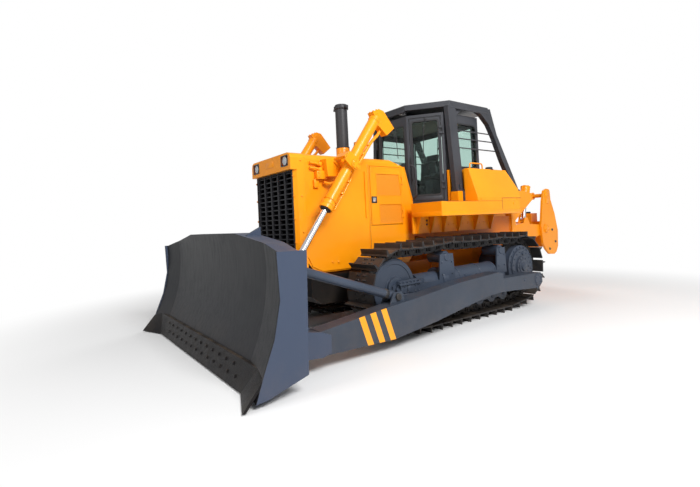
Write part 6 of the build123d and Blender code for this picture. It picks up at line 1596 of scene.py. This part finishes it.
def link_fittings(side, sign):
    """Bright rod, bands and feed pipe of one upper link."""
    foot = RIP_LINK_FOOT + Vector((0, sign * RIP_LINK_Y, 0))
    bm = bmesh.new()
    turned(bm, foot + LINK_LAY * 0.741, LINK_LAY, ((0, 0.0415), (0.472, 0.0415)), 28)
    piece(f"link_rod_{side}", bm, "ripper_link_pair", "chrome_rod")
    bm = bmesh.new()
    for along, radius, width in ((0.120, 0.071, 0.018), (0.690, 0.074, 0.052)):
        turned(bm, foot + LINK_LAY * along, LINK_LAY, band(width, radius), 36)
    path = ((0.140, 0.06), (0.140, 0.098), (0.640, 0.098), (0.640, 0.06))
    pipe(bm, [foot + LINK_LAY * along + Vector((0, 0, rise)) for along, rise in path], 0.011, 10, 0.03)
    piece(f"link_bands_{side}", bm, "ripper_link_pair", "paint_yellow", soft=0.0015)


def shank_fittings():
    """Shank's tooth, shin guard, retaining pin and depth hole."""
    body = "ripper_carrier_body"
    bm = bmesh.new()
    prism(bm, TOOTH, -0.058, 0.058)
    piece("ripper_tooth", bm, body, "edge_steel", soft=0.006)
    bm = bmesh.new()
    block(bm, (-3.988, -3.968), (-0.047, 0.047), (0.555, 0.690))
    pin = ((0, 0.036), (0.024, 0.044), (0.026, 0.030), (0.346, 0.030), (0.348, 0.044), (0.372, 0.036))
    turned(bm, (-4.045, -0.186, 1.150), (0, 1, 0), pin, 20)
    piece("shank_guard_and_pin", bm, body, "track_steel", soft=0.003)
    bm = bmesh.new()
    # The depth hole is drawn as a black plug: painted shade for the inside of the hole.
    turned(bm, (-4.045, -0.0465, 1.712), (0, 1, 0), ((0, 0.018), (0.093, 0.018)), 16)
    piece("shank_depth_hole", bm, body, "cab_charcoal", RUBBER)


def rear_fittings():
    """Fuel filler, tank straps with the hull's rear cover plate, and the rear lamps."""
    bm = bmesh.new()
    filler = ((0, 0.078), (0.012, 0.078), (0.016, 0.066), (0.050, 0.064), (0.058, 0.054))
    turned(bm, (-1.960, -0.300, 2.199), UP, filler, 28)
    piece("fuel_filler", bm, "tractor", "cab_charcoal", RUBBER)
    bm = bmesh.new()
    for x in (-2.120, -1.620):
        block(bm, (x - 0.030, x + 0.030), (-0.530, 0.530), (2.1985, 2.206))
    block(bm, (-2.236, REAR_X), (-0.420, 0.420), (1.900, 2.140))
    piece("tank_straps", bm, "tractor", "paint_yellow", soft=0.002)
    bolt_grid("tractor", "paint_yellow", (-2.236,), (-0.395, 0.395), (1.925, 2.115), BACK, 0.010)
    cases = bmesh.new()
    lenses = bmesh.new()
    for sign in (-1, 1):
        block(cases, (-2.262, REAR_X), mirrored(sign, 0.800, 0.940), (1.985, 2.085))
        block(lenses, (-2.268, -2.260), mirrored(sign, 0.812, 0.928), (1.997, 2.073))
    piece("rear_lamp_cases", cases, "tractor", "cab_charcoal", soft=0.003)
    piece("rear_lamp_lenses", lenses, "tractor", "glass", LENS, soft=0.002)


def idler_rings(side, sign):
    """Raised rim and hub rings on the outer face of an idler."""
    bm = bmesh.new()
    x, z = IDLER
    for outer, inner in ((0.398, 0.335), (0.175, 0.110)):
        ring = ((0, outer), (0.009, outer - 0.006), (0.009, inner + 0.006), (0, inner))
        turned(bm, (x, sign * (TRACK_Y + 0.1045), z), (0, sign, 0), ring, 56)
    piece(f"idler_rings_{side}", bm, "tractor", "paint_grey")


def post_shoes():
    """Dark angle plates behind the feet of the canopy's posts."""
    bm = bmesh.new()
    for sign in (-1, 1):
        block(bm, (-0.272, -0.165), mirrored(sign, 1.0895, 1.099), (1.9255, 2.111))
        block(bm, (-0.272, -0.2625), mirrored(sign, 0.930, 1.099), (1.9255, 2.111))
        bolt_grid("tractor", "cab_charcoal", (-0.215,), (sign * 1.0995,), (1.975, 2.060), (0, sign, 0), 0.013)
    piece("post_shoes", bm, "tractor", "cab_charcoal", soft=0.002)


blade_fittings()
shank_fittings()
rear_fittings()
post_shoes()
both_sides(carrier_fittings, ripper_cylinder_fittings, link_fittings, idler_rings)
fit_bolts()

# ---------------------------------------------------------------- studio
FLOOR_HALF = 60.0
FLOOR_FADE = (4.6, 8.5)
SKY_LIGHT = 0.36
GLOSS_LIGHT = 0.25
LAMPS = (  # name, place, the point it faces, width and height, power
    ("key", (3.0, 10.0, 8.5), (0.0, 0.0, 1.5), (5.0, 4.0), 1550.0),
    ("front", (12.0, 1.0, 7.0), (1.5, 0.0, 1.5), (4.0, 3.0), 260.0),
    ("back", (-9.0, -7.0, 8.0), (0.0, 0.0, 1.5), (6.0, 5.0), 380.0),
)


def make_floor():
    """Pale floor that takes the shadow and fades to white far out."""
    mesh = bpy.data.meshes.new("studio_floor")
    corners = oblong((-FLOOR_HALF, FLOOR_HALF), (-FLOOR_HALF, FLOOR_HALF))
    mesh.from_pydata([(x, y, 0) for x, y in corners], [], [(0, 1, 2, 3)])
    floor = link(bpy.data.objects.new("studio_floor", mesh))
    pale = (0.86, 0.86, 0.86, 1)
    material, tree, shader = blank_material("studio_floor", colour=pale, rough=0.9, sheen=0.1)
    distance = put(tree, "ShaderNodeVectorMath", {0: object_place(tree)}, operation="LENGTH").outputs["Value"]
    light = put(tree, "ShaderNodeEmission", {"Color": (1, 1, 1, 1), "Strength": 1.0})
    seen = put(tree, "ShaderNodeLightPath").outputs
    far = ramp(tree, distance, *FLOOR_FADE)
    share = calc(tree, "MULTIPLY", calc(tree, "MAXIMUM", seen["Is Camera Ray"], seen["Is Glossy Ray"]), far)
    mix = put(tree, "ShaderNodeMixShader", {0: share, 1: shader.outputs[0], 2: light.outputs[0]})
    output = next(n for n in tree.nodes if n.type == "OUTPUT_MATERIAL")
    tree.links.new(mix.outputs[0], output.inputs["Surface"])
    mesh.materials.append(material)


def make_world():
    """White surroundings, seen as white and lighting a little less."""
    world = bpy.data.worlds.new("studio")
    world.use_nodes = True
    bpy.context.scene.world = world
    tree = world.node_tree
    tree.nodes.clear()
    seen = put(tree, "ShaderNodeLightPath").outputs
    direct = calc(tree, "MAXIMUM", seen["Is Camera Ray"], seen["Is Transmission Ray"])
    direct = calc(tree, "MAXIMUM", direct, calc(tree, "MULTIPLY", seen["Is Glossy Ray"], GLOSS_LIGHT))
    strength = ramp(tree, direct, 0.0, 1.0, SKY_LIGHT, 1.0, smooth=False)
    light = put(tree, "ShaderNodeBackground", {"Color": (1, 1, 1, 1), "Strength": strength})
    output = put(tree, "ShaderNodeOutputWorld")
    tree.links.new(light.outputs[0], output.inputs["Surface"])


def make_lamp(name, place, target, size, power):
    """Oblong soft lamp turned to a point."""
    data = bpy.data.lights.new(name, "AREA")
    data.shape = "RECTANGLE"
    data.size, data.size_y = size
    data.energy = power
    lamp = link(bpy.data.objects.new(name, data))
    aim = Vector(target) - Vector(place)
    lamp.matrix_world = Matrix.Translation(place) @ aim.to_track_quat("-Z", "Y").to_matrix().to_4x4()


make_floor()
make_world()
for lamp_row in LAMPS:
    make_lamp(*lamp_row)
bpy.context.scene.view_settings.view_transform = "Standard"
